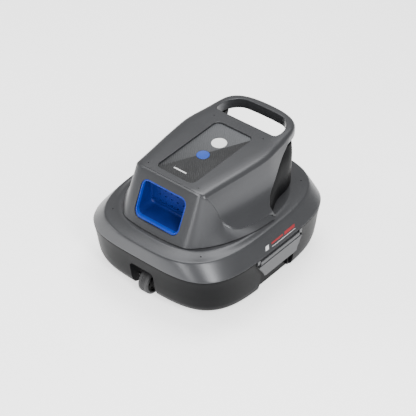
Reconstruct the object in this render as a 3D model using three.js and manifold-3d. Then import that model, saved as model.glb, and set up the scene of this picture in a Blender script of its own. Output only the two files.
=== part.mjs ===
// Cordless pool cleaner: a domed upper housing with a rear handle and a front water outlet,
// latched onto a wheeled base tray that holds the debris basket. Millimetres, +Z up,
// front (outlet) towards -Y, origin on the ground at the centre of the footprint. Heights are
// drawn from a datum above the ground, and the whole is raised by it at the end.
import * as THREE from "three";
import { mergeVertices } from "three/addons/utils/BufferGeometryUtils.js";
import Module from "manifold-3d";

const wasm = await Module();
wasm.setup();

// ---------------------------------------------------------------- driving dimensions
const bodyWidth = 336; // across the widest line of the shell
const bodyLength = 381;
const gap = 0.3; // between pieces that touch
const runClearance = 0.4; // round a turning shaft
const wall = 3; // shell walls
const coverWall = 3.5;

const datum = 12; // heights are measured from this far above the ground
const baseBottom = -1.5; // underside of the tray
const partingHeight = 82; // line between tray and upper housing
const ledgeEdgeHeight = 111.3; // top of the sloped band
const ledgeInset = 19.8; // how far the band slopes in at the sides
const footHeight = 116.5; // where the dome meets the ledge
const topHeight = 215.6; // top face at the centre
const topTilt = 0.031; // rise of the top face towards the back

const domeSideInset = 29; // dome foot in from the widest line, at the sides
const domeFrontInset = 37.5;
const topFrontInset = 82.5; // front edge of the top face

const slotFrontInset = 85.5; // front edge of the hand slot from the rear end
const slotLength = 58.5;
const slotFrontHalfWidth = 69;
const slotHalfWidth = 72;
const handleDepth = 21;

const windowHalfWidth = 43; // opening for the control panel
const windowFront = -93.5;
const windowRear = 78;
const windowRadius = 12;
const panelRecess = 4.2;
const panelThickness = 2.5;
const panelMargin = 3; // of the panel beyond its window
const buttonDiameter = 24;
const buttonPlace = -14;
const lightDiameter = 29;
const lightPlace = 31;

const outletHalfWidth = 52;
const outletBottom = 129.5;
const outletTop = 196;
const outletRadius = 14;
const outletWall = 3;
const ductBackInset = 90.5; // back wall of the duct from the front end
const guardPitch = 14; // of the holes in that wall
const guardHoleRadius = 4;

const latchTopHalf = 64;
const latchBottomHalf = 47;
const latchThickness = 3.2;
const latchBottom = 42;
const latchBarrelRadius = 2.6;
const pinRadius = 1.3;

const guideWheelDiameter = 50;
const guideWheelWidth = 21;
const guideWheelInset = 30.5; // wheel centre from the end of the body
const guideAxleRadius = 2.5;
const guideTread = 5.5; // thickness of the guide tyres
const notchHalfWidth = 28;
const notchTop = 57;

const driveWheelDiameter = 80;
const driveWheelWidth = 22;
const driveWheelInset = 45; // wheel centre plane from the widest line
const driveWheelY = 25;
const driveAxleRadius = 3;
const driveTread = 8.3; // thickness of the drive tyres
const gearModule = 2;
const gearTeeth = 30;
const pinionTeeth = 10;
const gearWidth = 4.5;
const pinionAngle = 18; // of the pinion's centre above the wheel's, in degrees
const motorRadius = 14;
const motorLength = 44;
const bracketThickness = 3;

const basketFrontInset = 76;
const basketRear = 40;
const basketTop = 74;
const basketWall = 2;
const basketRadius = 14; // of its upright corners
const intakeHalfWidth = 60;
const intakeLength = 18;
const intakeSpread = 45; // intake mouths either side of the basket's middle
const flapThickness = 1.6;

const caseBottom = 106;
const caseTop = 186;
const caseSideClearance = 19; // between the cover and the sealed case
const caseFrontInset = 128.5;
const caseRearInset = 102.5;
const lidThickness = 3.7;
const cellDiameter = 18.5;
const cellLength = 65;
const pumpHeight = 160;
const pumpMotorRadius = 21;
const pumpMotorLength = 50;
const pumpShaftRadius = 3;
const impellerRadius = 33;
const impellerWidth = 14;
const screwRadius = 1.6;

const capRadius = 13; // rubber cap of the charging port
const capHeight = 132;
const capHingeHalf = 4.5;
const capHingeRise = 3.6; // hinge line above the cap's upper edge

// ---------------------------------------------------------------- derived places
const halfX = bodyWidth / 2;
const halfY = bodyLength / 2;
const domeHalfX = halfX - domeSideInset;
const domeFront = -halfY + domeFrontInset;
const topFront = -halfY + topFrontInset;
const slotFront = halfY - slotFrontInset;
const slotRear = slotFront + slotLength;
const ductBack = -halfY + ductBackInset;
const widthScale = domeHalfX / 139; // the dome's side curve is drawn 139 mm from its middle
const lengthScale = halfY / 190.5; // and 190.5 mm long each way
const topAngle = Math.atan(topTilt);

// ---------------------------------------------------------------- solids and meshes
function solid(geometry) {
  const plain = geometry.index ? geometry.toNonIndexed() : geometry.clone();
  plain.deleteAttribute("normal");
  plain.deleteAttribute("uv");
  const merged = mergeVertices(plain, 1e-3);
  const triVerts = new Uint32Array(merged.index.array);
  const vertProperties = merged.attributes.position.array;
  const made = new wasm.Manifold(new wasm.Mesh({ numProp: 3, vertProperties, triVerts }));
  if (made.volume() >= 0) return made;
  return new wasm.Manifold(new wasm.Mesh({ numProp: 3, vertProperties, triVerts: triVerts.reverse() }));
}

function geometryOf(body) {
  const mesh = body.getMesh();
  const geometry = new THREE.BufferGeometry();
  geometry.setAttribute("position", new THREE.BufferAttribute(mesh.vertProperties, 3));
  geometry.setIndex(new THREE.BufferAttribute(mesh.triVerts, 1));
  return geometry.toNonIndexed();
}

const join = (...bodies) => bodies.reduce((a, b) => a.add(b));
const cut = (body, ...tools) => tools.reduce((a, b) => a.subtract(b), body);

function box(x0, x1, y0, y1, z0, z1) {
  const g = new THREE.BoxGeometry(x1 - x0, y1 - y0, z1 - z0);
  g.translate((x0 + x1) / 2, (y0 + y1) / 2, (z0 + z1) / 2);
  return solid(g);
}

// A cylinder along X, Y or Z; centre gives the two coordinates across the axis, in order.
function rod(axis, radius, from, to, centre, sides = 20) {
  const g = new THREE.CylinderGeometry(radius, radius, to - from, sides);
  const mid = (from + to) / 2;
  if (axis === "x") {
    g.rotateZ(Math.PI / 2);
    g.translate(mid, centre[0], centre[1]);
  } else if (axis === "y") {
    g.translate(centre[0], mid, centre[1]);
  } else {
    g.rotateX(Math.PI / 2);
    g.translate(centre[0], centre[1], mid);
  }
  return solid(g);
}

function roundedShape(x0, x1, y0, y1, radius) {
  const s = new THREE.Shape();
  s.moveTo(x0 + radius, y0);
  s.lineTo(x1 - radius, y0);
  s.absarc(x1 - radius, y0 + radius, radius, -Math.PI / 2, 0);
  s.lineTo(x1, y1 - radius);
  s.absarc(x1 - radius, y1 - radius, radius, 0, Math.PI / 2);
  s.lineTo(x0 + radius, y1);
  s.absarc(x0 + radius, y1 - radius, radius, Math.PI / 2, Math.PI);
  s.lineTo(x0, y0 + radius);
  s.absarc(x0 + radius, y0 + radius, radius, Math.PI, 1.5 * Math.PI);
  return s;
}

// A shape pushed along Z, from one height to another.
function slab(shape, z0, z1, curveSegments = 4) {
  const g = new THREE.ExtrudeGeometry(shape, { depth: z1 - z0, bevelEnabled: false, curveSegments });
  g.translate(0, 0, z0);
  return solid(g);
}

// A shape drawn in X and Z, pushed along Y.
function slabAlongY(shape, y0, y1, curveSegments = 4) {
  const g = new THREE.ExtrudeGeometry(shape, { depth: y1 - y0, bevelEnabled: false, curveSegments });
  g.rotateX(Math.PI / 2);
  g.translate(0, y1, 0);
  return solid(g);
}

// Rings of equally many points, joined one to the next. Closed rings give a capped body,
// or with ring = true the last ring joins back to the first.
function loft(rings, ring = false) {
  const count = rings[0].length;
  const points = rings.flat();
  const index = [];
  const last = ring ? rings.length : rings.length - 1;
  for (let i = 0; i < last; i++) {
    const next = (i + 1) % rings.length;
    for (let j = 0; j < count; j++) {
      const k = (j + 1) % count;
      const a = i * count + j;
      const b = i * count + k;
      const c = next * count + k;
      const d = next * count + j;
      index.push(a, b, c, a, c, d);
    }
  }
  if (!ring) {
    const top = (rings.length - 1) * count;
    for (const [i, j, k] of capTriangles(rings[0])) index.push(k, j, i);
    for (const [i, j, k] of capTriangles(rings.at(-1))) index.push(top + i, top + j, top + k);
  }
  return solid(surface(points, index));
}

function capTriangles(points) {
  return THREE.ShapeUtils.triangulateShape(points.map((p) => new THREE.Vector2(p.x, p.y)), []);
}

function surface(points, index) {
  const g = new THREE.BufferGeometry();
  g.setAttribute("position", new THREE.Float32BufferAttribute(points.flatMap((p) => p.toArray()), 3));
  g.setIndex(index);
  return g;
}

// A grid of points thickened inwards into one closed sheet.
function thickSheet(grid, thickness) {
  const rows = grid.length;
  const columns = grid[0].length;
  const inner = grid.map((row, i) =>
    row.map((p, j) => {
      const along = grid[i][Math.min(j + 1, columns - 1)].clone().sub(grid[i][Math.max(j - 1, 0)]);
      const across = grid[Math.min(i + 1, rows - 1)][j].clone().sub(grid[Math.max(i - 1, 0)][j]);
      return p.clone().addScaledVector(along.cross(across).normalize(), -thickness);
    }),
  );
  const points = [...grid.flat(), ...inner.flat()];
  const at = (i, j, side) => side * rows * columns + i * columns + j;
  const index = [];
  const quad = (a, b, c, d) => index.push(a, b, c, a, c, d);
  for (let i = 0; i < rows - 1; i++) {
    for (let j = 0; j < columns - 1; j++) {
      quad(at(i, j, 0), at(i, j + 1, 0), at(i + 1, j + 1, 0), at(i + 1, j, 0));
      quad(at(i, j, 1), at(i + 1, j, 1), at(i + 1, j + 1, 1), at(i, j + 1, 1));
    }
    quad(at(i, 0, 0), at(i + 1, 0, 0), at(i + 1, 0, 1), at(i, 0, 1));
    quad(at(i, columns - 1, 0), at(i, columns - 1, 1), at(i + 1, columns - 1, 1), at(i + 1, columns - 1, 0));
  }
  for (let j = 0; j < columns - 1; j++) {
    quad(at(0, j, 0), at(0, j, 1), at(0, j + 1, 1), at(0, j + 1, 0));
    quad(at(rows - 1, j, 0), at(rows - 1, j + 1, 0), at(rows - 1, j + 1, 1), at(rows - 1, j, 1));
  }
  return solid(surface(points, index));
}

// Value of a table of [place, value] pairs at a place, straight between its rows.
function along(table, place) {
  const i = Math.max(1, Math.min(table.length - 1, table.findIndex(([p]) => p > place)));
  const at = table.at(-1)[0] <= place ? table.length - 1 : i;
  const [p0, v0] = table[at - 1];
  const [p1, v1] = table[at];
  const t = THREE.MathUtils.clamp((place - p0) / (p1 - p0), 0, 1);
  return v0 + (v1 - v0) * t;
}

// A superellipse in plan, counter-clockwise, from its front middle.
function planRing(a, b, power, z, middleY = 0, count = 36) {
  return Array.from({ length: count }, (_, i) => {
    const t = (2 * Math.PI * i) / count - Math.PI / 2;
    const c = Math.cos(t);
    const s = Math.sin(t);
    const x = a * Math.sign(c) * Math.abs(c) ** (2 / power);
    const y = b * Math.sign(s) * Math.abs(s) ** (2 / power);
    return new THREE.Vector3(x, middleY + y, z);
  });
}

// ---------------------------------------------------------------- the shell's curves
const shellPower = 3.88; // squareness of the body in plan
const ledgePower = 3.07;

// Half width of the top face's shoulder along the body.
const shoulder = [
  [-110, 80], [-60, 86], [0, 93.5], [50, 97.5], [90, 93], [127, 86.8], [150, 80.5],
].map(([y, x]) => [y * lengthScale, x * widthScale]);

// How far the side has flared from the shoulder to its foot, by height.
const flare = [
  [117, 1.15], [122, 1.1], [127, 1.06], [130, 1.01], [134, 0.92], [140, 0.76], [148, 0.52],
  [158, 0.34], [171, 0.22], [186, 0.13], [198, 0.06], [207, 0],
];
const flareReach = 131 * widthScale;

const coverX = (y, z) => along(shoulder, y) + along(flare, z) * (flareReach - along(shoulder, y));
const lift = (y, z) => y * topTilt * THREE.MathUtils.clamp((z - footHeight) / (207 - footHeight), 0, 1);

// Seam between fascia and cover, from the side wing round to the top face: foot point of the
// fascia in plan, then the seam's place along the body and its height.
const seam = [
  [139, 20, 13, 126.5], [138.5, 12, 6, 127.5], [137, -1, -8, 129], [135, -20, -29, 131],
  [132, -36, -49, 134], [128, -52, -64, 138], [124, -66, -73, 143], [120.5, -76, -78, 149],
  [116, -88, -81, 158], [110, -100, -82, 171], [101, -114, -88, 186], [93, -125, -95, 200],
];

// Rear edge of the cover: height, then place along the body.
const rearEdge = [
  [117, 27], [125, 23], [135, 21], [142, 28], [150, 40], [158, 53], [170, 69],
  [182, 83], [193, 99], [202, 119], [207, 125],
].map(([z, y]) => [z, y * lengthScale]);

// Rounding of the top face: distance in from the shoulder, and height above it.
const crown = [[0, 0], [1.2, 2.6], [4, 5.2], [9, 7.2], [20, 8.4], [38, 8.6]];
const shoulderHeight = topHeight - crown.at(-1)[1];
const frontCorner = 70 * widthScale;

function coverPoint(y, z, side) {
  return new THREE.Vector3(side * coverX(y, z), y, z + lift(y, z));
}

function crownPoint(y, inset, rise, side) {
  const y0 = Math.max(y, topFront);
  return new THREE.Vector3(side * (along(shoulder, y0) - inset), y, shoulderHeight + rise + topTilt * y);
}

// ---------------------------------------------------------------- upper housing shells
function coverRows() {
  const columns = 8;
  const spread = (front, rear, make) =>
    Array.from({ length: columns + 1 }, (_, j) => make(front + ((rear - front) * j) / columns));
  const side = (s) => {
    const rows = [[22, 117.2], [20, 122], ...seam.map(([, , y, z]) => [y, z])].map(([y, z]) =>
      spread(y * lengthScale, along(rearEdge, z), (v) => coverPoint(v, z, s)),
    );
    for (const [inset, rise] of crown) {
      const front = topFront + Math.max(0, 7 - 1.6 * rise);
      rows.push(spread(front, slotFront - 4, (v) => crownPoint(v, inset, rise, s)));
    }
    return rows;
  };
  const left = side(-1);
  const right = side(1).reverse();
  const middle = spread(topFront, slotFront - 4, (v) => new THREE.Vector3(0, v, topHeight + topTilt * v));
  return [...left, middle, ...right];
}

// Half width of the handle's outer edge, along the body.
const handleEdge = [
  [90, 93], [99, 91.6], [108, 90], [117, 88.6], [126, 87], [140, 84], [152, 79.5], [163, 71.5],
  [171.5, 59], [177, 43], [180, 23], [181, 0],
].map(([y, x]) => [y * lengthScale, x * widthScale]);
const handleRear = handleEdge.at(-1)[0];

function handleOutline(inset, drop) {
  const half = handleEdge.slice(0, -1).map(([y, x]) => {
    const facing = Math.max(0, (y / lengthScale - 140) / 41); // 0 at the side, 1 at the rear middle
    return [x - inset * (1 - facing ** 2), y - inset * facing];
  });
  const all = [...half, [0, handleRear - inset], ...half.toReversed().map(([x, y]) => [-x, y])];
  return all.map(([x, y]) => new THREE.Vector3(x, y, topHeight + topTilt * y - drop));
}

function slotShape(grow = 0) {
  const s = new THREE.Shape();
  const front = slotFront - grow;
  const rear = slotRear + grow;
  const r = 7;
  s.moveTo(-slotFrontHalfWidth + r, front);
  s.lineTo(slotFrontHalfWidth - r, front);
  s.quadraticCurveTo(slotFrontHalfWidth + grow, front, slotFrontHalfWidth + grow + 2, front + r);
  s.bezierCurveTo(slotHalfWidth + grow + 4, front + 26, slotHalfWidth - 10, rear - 4, 40, rear - 1.5);
  s.quadraticCurveTo(0, rear + 1.5, -40, rear - 1.5);
  s.bezierCurveTo(-slotHalfWidth + 10, rear - 4, -slotHalfWidth - grow - 4, front + 26,
    -slotFrontHalfWidth - grow - 2, front + r);
  s.quadraticCurveTo(-slotFrontHalfWidth - grow, front, -slotFrontHalfWidth + r, front);
  return s;
}

function topCover() {
  const sheet = thickSheet(coverRows(), coverWall);
  const top = crown.slice(1, 4).map(([inset, rise]) => [inset, crown.at(-1)[1] - rise]);
  const levels = [[3, handleDepth], [0.8, handleDepth - 3], [0, 9], ...top, [13, 0.6]];
  const handle = loft(levels.map(([inset, drop]) => handleOutline(inset, drop)));
  const slot = slab(slotShape(), 150, 260, 6);
  const windowShape = roundedShape(-windowHalfWidth, windowHalfWidth, windowFront, windowRear, windowRadius);
  const window = slab(windowShape, 195, 260, 3);
  return cut(join(sheet, handle), slot, window);
}

function frontFascia() {
  const steps = 3;
  const tuck = 6; // of the fascia's edge under the cover
  const inset = coverWall + gap + 0.2;
  const outer = seam.map(([fx, fy, y, z]) => {
    const foot = new THREE.Vector3(fx * widthScale, fy * lengthScale, footHeight + gap);
    const v = y * lengthScale;
    return [foot, coverPoint(v, z, 1), seamNormal(v, z), coverPoint(v + tuck, z, 1), seamNormal(v + tuck, z)];
  });
  const across = [0.93, 0.62, 0.31, 0];
  for (const share of across) {
    const bowed = domeFront + 9 * share ** 2.4; // the foot curves back towards its corners
    const foot = new THREE.Vector3(frontCorner * 1.12 * share, bowed, footHeight + gap);
    const end = new THREE.Vector3(frontCorner * share, topFront, topHeight + topTilt * topFront);
    const under = end.clone().add(new THREE.Vector3(0, tuck, topTilt * tuck));
    const up = new THREE.Vector3(0, 0, 1);
    outer.push([foot, end, up, under, up]);
  }
  const right = outer.map(([foot, end, normal, under, underNormal]) => {
    const top = end.clone().addScaledVector(normal, -inset);
    const row = Array.from({ length: steps + 1 }, (_, j) => foot.clone().lerp(top, j / steps));
    return [...row, under.clone().addScaledVector(underNormal, -inset)];
  });
  const mirrored = right.slice(0, -1).map((row) => row.map((p) => new THREE.Vector3(-p.x, p.y, p.z)));
  const shell = thickSheet([...right, ...mirrored.reverse()].reverse(), wall);
  return cut(shell, outletPrism(gap, domeFront - 20, ductBack));
}

function seamNormal(y, z) {
  const d = 0.5;
  const a = coverPoint(y + d, z, 1).sub(coverPoint(y - d, z, 1));
  const b = coverPoint(y, z + d, 1).sub(coverPoint(y, z - d, 1));
  return a.cross(b).normalize();
}

// Outlet passage pushed straight along Y; grow widens it all round.
function outletPrism(grow, y0, y1) {
  const half = outletHalfWidth + grow;
  const shape = roundedShape(-half, half, outletBottom - grow, outletTop + grow, outletRadius + grow);
  return slabAlongY(shape, y0, y1, 5);
}

// ---------------------------------------------------------------- deck and rear panel
const hinge = { x: halfX - 3, z: partingHeight - 5.3 }; // latch hinge line, each side
const barrelHalf = latchTopHalf - 7.5;
const knuckleRadius = 4.4; // of the deck's hinge knuckles
const knuckleBottom = hinge.z - knuckleRadius;

function tapered(levels, ring = false) {
  return loft(levels.map(([z, a, b, power, middleY]) => planRing(a, b, power, z, middleY)), ring);
}

function deckHousing() {
  const bottom = partingHeight + gap;
  const tongue = wall + 1.8;
  const ledgeX = halfX - ledgeInset;
  const ledgeY = halfY - 1.8;
  const crownY = domeFrontInset - 2.5;
  const holeX = domeHalfX - 47;
  const holeY = halfY - 82.5;
  const outer = tapered([
    [bottom, halfX, halfY, shellPower], [bottom + 4, halfX - 2.2, halfY - 0.1, 3.82],
    [ledgeEdgeHeight - 5, ledgeX + 3.6, ledgeY + 0.3, 3.2], [ledgeEdgeHeight, ledgeX, ledgeY, ledgePower],
    [ledgeEdgeHeight + 0.9, ledgeX - 2.2, ledgeY - 2.2, ledgePower],
    [footHeight - gap, domeHalfX - 4, halfY - crownY, 2.7, -8],
    [footHeight - gap, holeX, holeY, 4, -4],
    [footHeight - gap - wall, holeX, holeY, 4, -4],
    [footHeight - gap - wall, domeHalfX - 6, halfY - crownY - 2, 2.7, -8],
    [ledgeEdgeHeight - wall, ledgeX - 4.4, ledgeY - 4.4, ledgePower],
    [bottom, halfX - 2 - tongue, halfY - 2 - tongue, shellPower],
    [bottom - 5, halfX - 2 - tongue, halfY - 2 - tongue, shellPower],
    [bottom - 5, halfX - tongue, halfY - tongue, shellPower],
    [bottom, halfX - tongue, halfY - tongue, shellPower],
  ], true);
  let deck = outer;
  for (const side of [-1, 1]) {
    const span = (x0, x1) => [Math.min(side * x0, side * x1), Math.max(side * x0, side * x1)];
    const [n0, n1] = span(hinge.x - 6, halfX + 8);
    const trough = box(n0, n1, -barrelHalf - 0.5, barrelHalf + 0.5, bottom - 9, bottom);
    const [b0, b1] = span(hinge.x - knuckleRadius + 0.9, hinge.x + knuckleRadius);
    const place = [side * hinge.x, hinge.z];
    const knuckle = (y0, y1) =>
      join(box(b0, b1, y0, y1, hinge.z, bottom + 0.8), rod("y", knuckleRadius, y0, y1, place));
    const pair = [knuckle(-latchTopHalf, -barrelHalf - 0.5), knuckle(barrelHalf + 0.5, latchTopHalf)];
    const boreHalf = latchTopHalf + 5;
    const bore = rod("y", pinRadius + gap, -boreHalf, boreHalf, place, 12);
    deck = cut(join(cut(deck, trough), ...pair), bore);
  }
  return deck;
}

const rearFace = halfY - 56.5;
const rearTop = topHeight - handleDepth - gap + topTilt * (slotFront - 12);

// Side and rear outline of the rear panel at a height; inset pulls it in.
function rearOutline(z, cornerX, cornerY, inset, front) {
  const edge = along(rearEdge, z) - 6;
  const half = [
    [Math.min(coverX(edge, z) - coverWall - 2, cornerX + 34 * widthScale) - inset, front ?? edge],
    [cornerX * widthScale + 6 - inset, Math.max(cornerY - 44, edge + 8)],
    [cornerX * widthScale - inset, cornerY - inset],
    [cornerX * widthScale - 12 - inset, rearFace - 4 - inset + 0.4 * (cornerY - rearFace + 22)],
    [60, rearFace - inset],
  ];
  return [...half, ...half.toReversed().map(([x, y]) => [-x, y])].map(([x, y]) => new THREE.Vector3(x, y, z));
}

function rearPanel() {
  const corners = [[footHeight, 103, -23], [150, 97, -7], [175, 92, 2], [rearTop, 83, 11]];
  const shell = (inset, front) =>
    loft(corners.map(([z, x, back], i) => {
      const height = z + (i === 0 ? gap : 0) + (front === undefined ? 0 : [-5, 0, 0, 5][i]);
      return rearOutline(height, x, rearFace + back, inset, front);
    }));
  const scoop = (grow) =>
    loft([[150, 4], [152, 0], [185, -28.5], [rearTop + 20, -28.5]].map(([z, back]) => {
      const x = slotFrontHalfWidth + grow;
      const y = rearFace + back - grow * 1.4;
      return [[x, y], [x, halfY + 40], [-x, halfY + 40], [-x, y]].map(([u, v]) => new THREE.Vector3(u, v, z));
    }));
  const cavity = cut(shell(wall, 0), scoop(wall));
  const hole = rod("y", 9 + gap, rearFace - 20, rearFace + 20, [0, capHeight], 20);
  const hingeZ = capHeight + capRadius + capHingeRise;
  const ears = [-1, 1].map((side) => {
    const x = side * (capHingeHalf + 1.6);
    const ear = box(x - 1.2, x + 1.2, rearFace - 1, rearFace + 5, hingeZ - 2.4, hingeZ + 2.4);
    return cut(ear, rod("x", 0.8 + gap, x - 3, x + 3, [rearFace + 2.6, hingeZ], 10));
  });
  return join(cut(shell(0), cavity, scoop(0), hole), ...ears);
}

// ---------------------------------------------------------------- outlet duct
function outletDuct() {
  const slope = (topFront - domeFront) / (topHeight + topTilt * topFront - footHeight);
  const faceY = (z) => domeFront + slope * (z - footHeight) - 0.6;
  const behind = slabAlongX([
    [faceY(100), 100], [ductBack + 40, 100], [ductBack + 40, 230], [faceY(230), 230],
  ], -outletHalfWidth - 20, outletHalfWidth + 20);
  const outer = outletPrism(0, domeFront - 20, ductBack + wall).intersect(behind);
  const inner = outletPrism(-outletWall, domeFront - 40, ductBack);
  const holes = [];
  for (let row = -1; row <= 1; row++) {
    for (let column = -2; column <= 2; column++) {
      const place = [column * guardPitch, pumpHeight + row * guardPitch];
      holes.push(rod("y", guardHoleRadius, ductBack - 2, ductBack + wall + 2, place, 6));
    }
  }
  return cut(outer, inner, ...holes);
}

// An outline of [y, z] points pushed along X.
function slabAlongX(points, x0, x1, shape = null, curveSegments = 4) {
  const outline = shape ?? new THREE.Shape(points.map(([y, z]) => new THREE.Vector2(y, z)));
  const g = new THREE.ExtrudeGeometry(outline, { depth: x1 - x0, bevelEnabled: false, curveSegments });
  g.applyMatrix4(
    new THREE.Matrix4().makeBasis(
      new THREE.Vector3(0, 1, 0), new THREE.Vector3(0, 0, 1), new THREE.Vector3(1, 0, 0),
    ),
  );
  g.translate(x0, 0, 0);
  return solid(g);
}

// A body of revolution about X from [along the axis, radius] points, open on the axis.
function turned(points, centre, segments = 24) {
  const g = new THREE.LatheGeometry(points.map(([x, r]) => new THREE.Vector2(r, x)), segments);
  g.rotateZ(-Math.PI / 2);
  g.translate(...centre);
  return solid(g);
}

// ---------------------------------------------------------------- base tray
const guideY = halfY - guideWheelInset;
const guideRadius = guideWheelDiameter / 2;
const guideZ = guideRadius - datum;
const driveX = halfX - driveWheelInset;
const driveRadius = driveWheelDiameter / 2;
const driveZ = driveRadius - datum;
const hubInner = driveX - driveWheelWidth / 2;
const gearOuterX = hubInner - gap;
const gearInnerX = gearOuterX - gearWidth;
const bracketX = gearInnerX - runClearance - gap; // outer face of the inner bracket
const outerBracketX = driveX + driveWheelWidth / 2 + 3.5;
const gearRadius = (gearModule * gearTeeth) / 2;
const pinionRadius = (gearModule * pinionTeeth) / 2;
const pinionTilt = THREE.MathUtils.degToRad(pinionAngle);
const motorY = driveWheelY + (gearRadius + pinionRadius) * Math.cos(pinionTilt);
const motorZ = driveZ + (gearRadius + pinionRadius) * Math.sin(pinionTilt);
const floorTop = baseBottom + wall + 0.5;
const basketHalfX = bracketX - bracketThickness - 6;
const basketFront = -halfY + basketFrontInset;
const basketMiddle = (basketFront + basketRear) / 2;
const pocketFloor = halfX - 18;

function intakeMouths(grow, z0, z1) {
  const mouths = [];
  for (const side of [-1, 1]) {
    const y = basketMiddle + side * intakeSpread;
    const half = intakeHalfWidth + grow;
    mouths.push(box(-half, half, y - intakeLength / 2 - grow, y + intakeLength / 2 + grow, z0, z1));
  }
  return mouths;
}

function baseTray() {
  const levels = [
    [baseBottom, halfX - 19, halfY - 26.5, 3.6], [baseBottom + 2.5, halfX - 12, halfY - 19.5, 3.7],
    [baseBottom + 8, halfX - 8, halfY - 14.5, 3.75], [baseBottom + 21, halfX - 5.2, halfY - 9.5, 3.8],
    [60, halfX - 2.2, halfY - 4, 3.84], [partingHeight, halfX, halfY, shellPower],
  ];
  const outer = tapered(levels);
  const inner = tapered(levels.map(([z, a, b, p], i) => [
    [floorTop, baseBottom + 5, baseBottom + 9.5, baseBottom + 21, 60, partingHeight + 1][i],
    a - wall, b - wall, p,
  ]));
  let tray = cut(outer, inner);
  const inside = (piece) => piece.intersect(outer);
  for (const end of [-1, 1]) {
    const y0 = guideY - guideRadius - 4;
    const reach = (from, to) => (end < 0 ? [-to, -from] : [from, to]);
    const [h0, h1] = reach(y0 - wall, halfY);
    const housing = box(-notchHalfWidth - wall, notchHalfWidth + wall, h0, h1, baseBottom, notchTop + wall);
    const [c0, c1] = reach(y0, halfY + 10);
    const shape = roundedShape(-notchHalfWidth, notchHalfWidth, -20, notchTop, 9);
    const axleReach = notchHalfWidth + 9;
    const axle = rod("x", guideAxleRadius + gap, -axleReach, axleReach, [end * guideY, guideZ]);
    tray = cut(join(tray, inside(housing)), slabAlongY(shape, c0, c1, 3), axle);
  }
  for (const side of [-1, 1]) {
    const span = (x0, x1) => [Math.min(side * x0, side * x1), Math.max(side * x0, side * x1)];
    const [b0, b1] = span(pocketFloor - wall, halfX);
    const block = box(b0, b1, -latchTopHalf - 6, latchTopHalf + 6, baseBottom, partingHeight - 7);
    const [p0, p1] = span(pocketFloor, halfX + 10);
    const top = latchTopHalf + 1.5;
    const low = latchBottomHalf + 1.5;
    const flank = knuckleBottom - 1.3; // where the pocket's slanted sides end
    const pocket = slabAlongX([
      [-low, baseBottom - 5], [low, baseBottom - 5], [low, latchBottom], [top, flank],
      [top, partingHeight + 5], [-top, partingHeight + 5], [-top, flank], [-low, latchBottom],
    ], p0, p1);
    const [r0, r1] = span(pocketFloor - 1, pocketFloor + 6);
    const rib = box(r0, r1, 41, 44, baseBottom + 5, latchBottom - 3);
    const [k0, k1] = span(pocketFloor - 1, hinge.x - 1.5);
    const keeper = box(k0, k1, -20, 20, latchBottom + 14, latchBottom + 17);
    tray = join(cut(join(tray, inside(block)), pocket), inside(rib), inside(keeper));

    const [s0, s1] = span(gearInnerX - runClearance, outerBracketX - 1);
    const wheelSlot = box(s0, s1, driveWheelY - 34, driveWheelY + 34, baseBottom - 5, floorTop + 2);
    const [i0, i1] = span(bracketX - bracketThickness, bracketX);
    const innerBracket = box(i0, i1, driveWheelY - 16, motorY + 16, baseBottom + 1, motorZ + 16);
    const [o0, o1] = span(outerBracketX, outerBracketX + bracketThickness);
    const outerBracket = box(o0, o1, driveWheelY - 12, driveWheelY + 12, baseBottom + 1, driveZ + 12);
    const [a0, a1] = span(bracketX - 10, outerBracketX + 10);
    const axle = rod("x", driveAxleRadius + runClearance, a0, a1, [driveWheelY, driveZ]);
    const shaft = rod("x", 5, a0, side > 0 ? bracketX + 1 : -bracketX + 20, [motorY, motorZ], 12);
    const shaftHole = side > 0 ? shaft : rod("x", 5, -bracketX - 1, -bracketX + 20, [motorY, motorZ], 12);
    const brackets = cut(join(innerBracket, outerBracket), axle, shaftHole);
    tray = join(cut(tray, wheelSlot), brackets);
  }
  return cut(tray, ...intakeMouths(0, baseBottom - 5, floorTop + 1));
}

// ---------------------------------------------------------------- latch, in its hinge's own frame
function latchPlate() {
  const top = 1.8;
  const bottom = latchBottom - hinge.z;
  const shoulderZ = knuckleBottom - 1.4 - hinge.z; // where the plate widens below the knuckles
  const outline = new THREE.Shape();
  const r = 6;
  outline.moveTo(-latchBottomHalf + r, bottom);
  outline.lineTo(latchBottomHalf - r, bottom);
  outline.quadraticCurveTo(latchBottomHalf, bottom, latchBottomHalf + 1.5, bottom + r);
  outline.lineTo(latchTopHalf, shoulderZ);
  outline.lineTo(barrelHalf, shoulderZ);
  outline.lineTo(barrelHalf, top);
  outline.lineTo(-barrelHalf, top);
  outline.lineTo(-barrelHalf, shoulderZ);
  outline.lineTo(-latchTopHalf, shoulderZ);
  outline.lineTo(-latchBottomHalf - 1.5, bottom + r);
  outline.quadraticCurveTo(-latchBottomHalf, bottom, -latchBottomHalf + r, bottom);
  const plateIn = 2.4;
  const plateOut = plateIn + latchThickness;
  const plate = slabAlongX([], plateIn, plateOut, outline, 3);
  const barrel = rod("y", latchBarrelRadius, -barrelHalf, barrelHalf, [0, 0], 16);
  const link = box(0, plateIn + 1, -barrelHalf, barrelHalf, -2.6, 0);
  const ridgeHalf = latchTopHalf - 3;
  const ridgeTop = shoulderZ - 0.3;
  const ridge = box(plateIn + 1, plateOut + 0.8, -ridgeHalf, ridgeHalf, ridgeTop - 2.1, ridgeTop);
  const bevel = slabAlongY(new THREE.Shape([
    new THREE.Vector2(plateOut - 1.4, top + 1), new THREE.Vector2(plateOut + 1, top - 1.4),
    new THREE.Vector2(plateOut + 1, top + 1),
  ]), -latchTopHalf, latchTopHalf);
  const catchZ = latchBottom + 10 - hinge.z;
  const hook = box(plateIn - 3.2, plateIn + 1, -18, 18, catchZ, catchZ + 2.6);
  const bore = rod("y", pinRadius + runClearance, -barrelHalf - 1, barrelHalf + 1, [0, 0], 12);
  return cut(join(plate, barrel, link, ridge, hook), bore, bevel);
}

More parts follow.
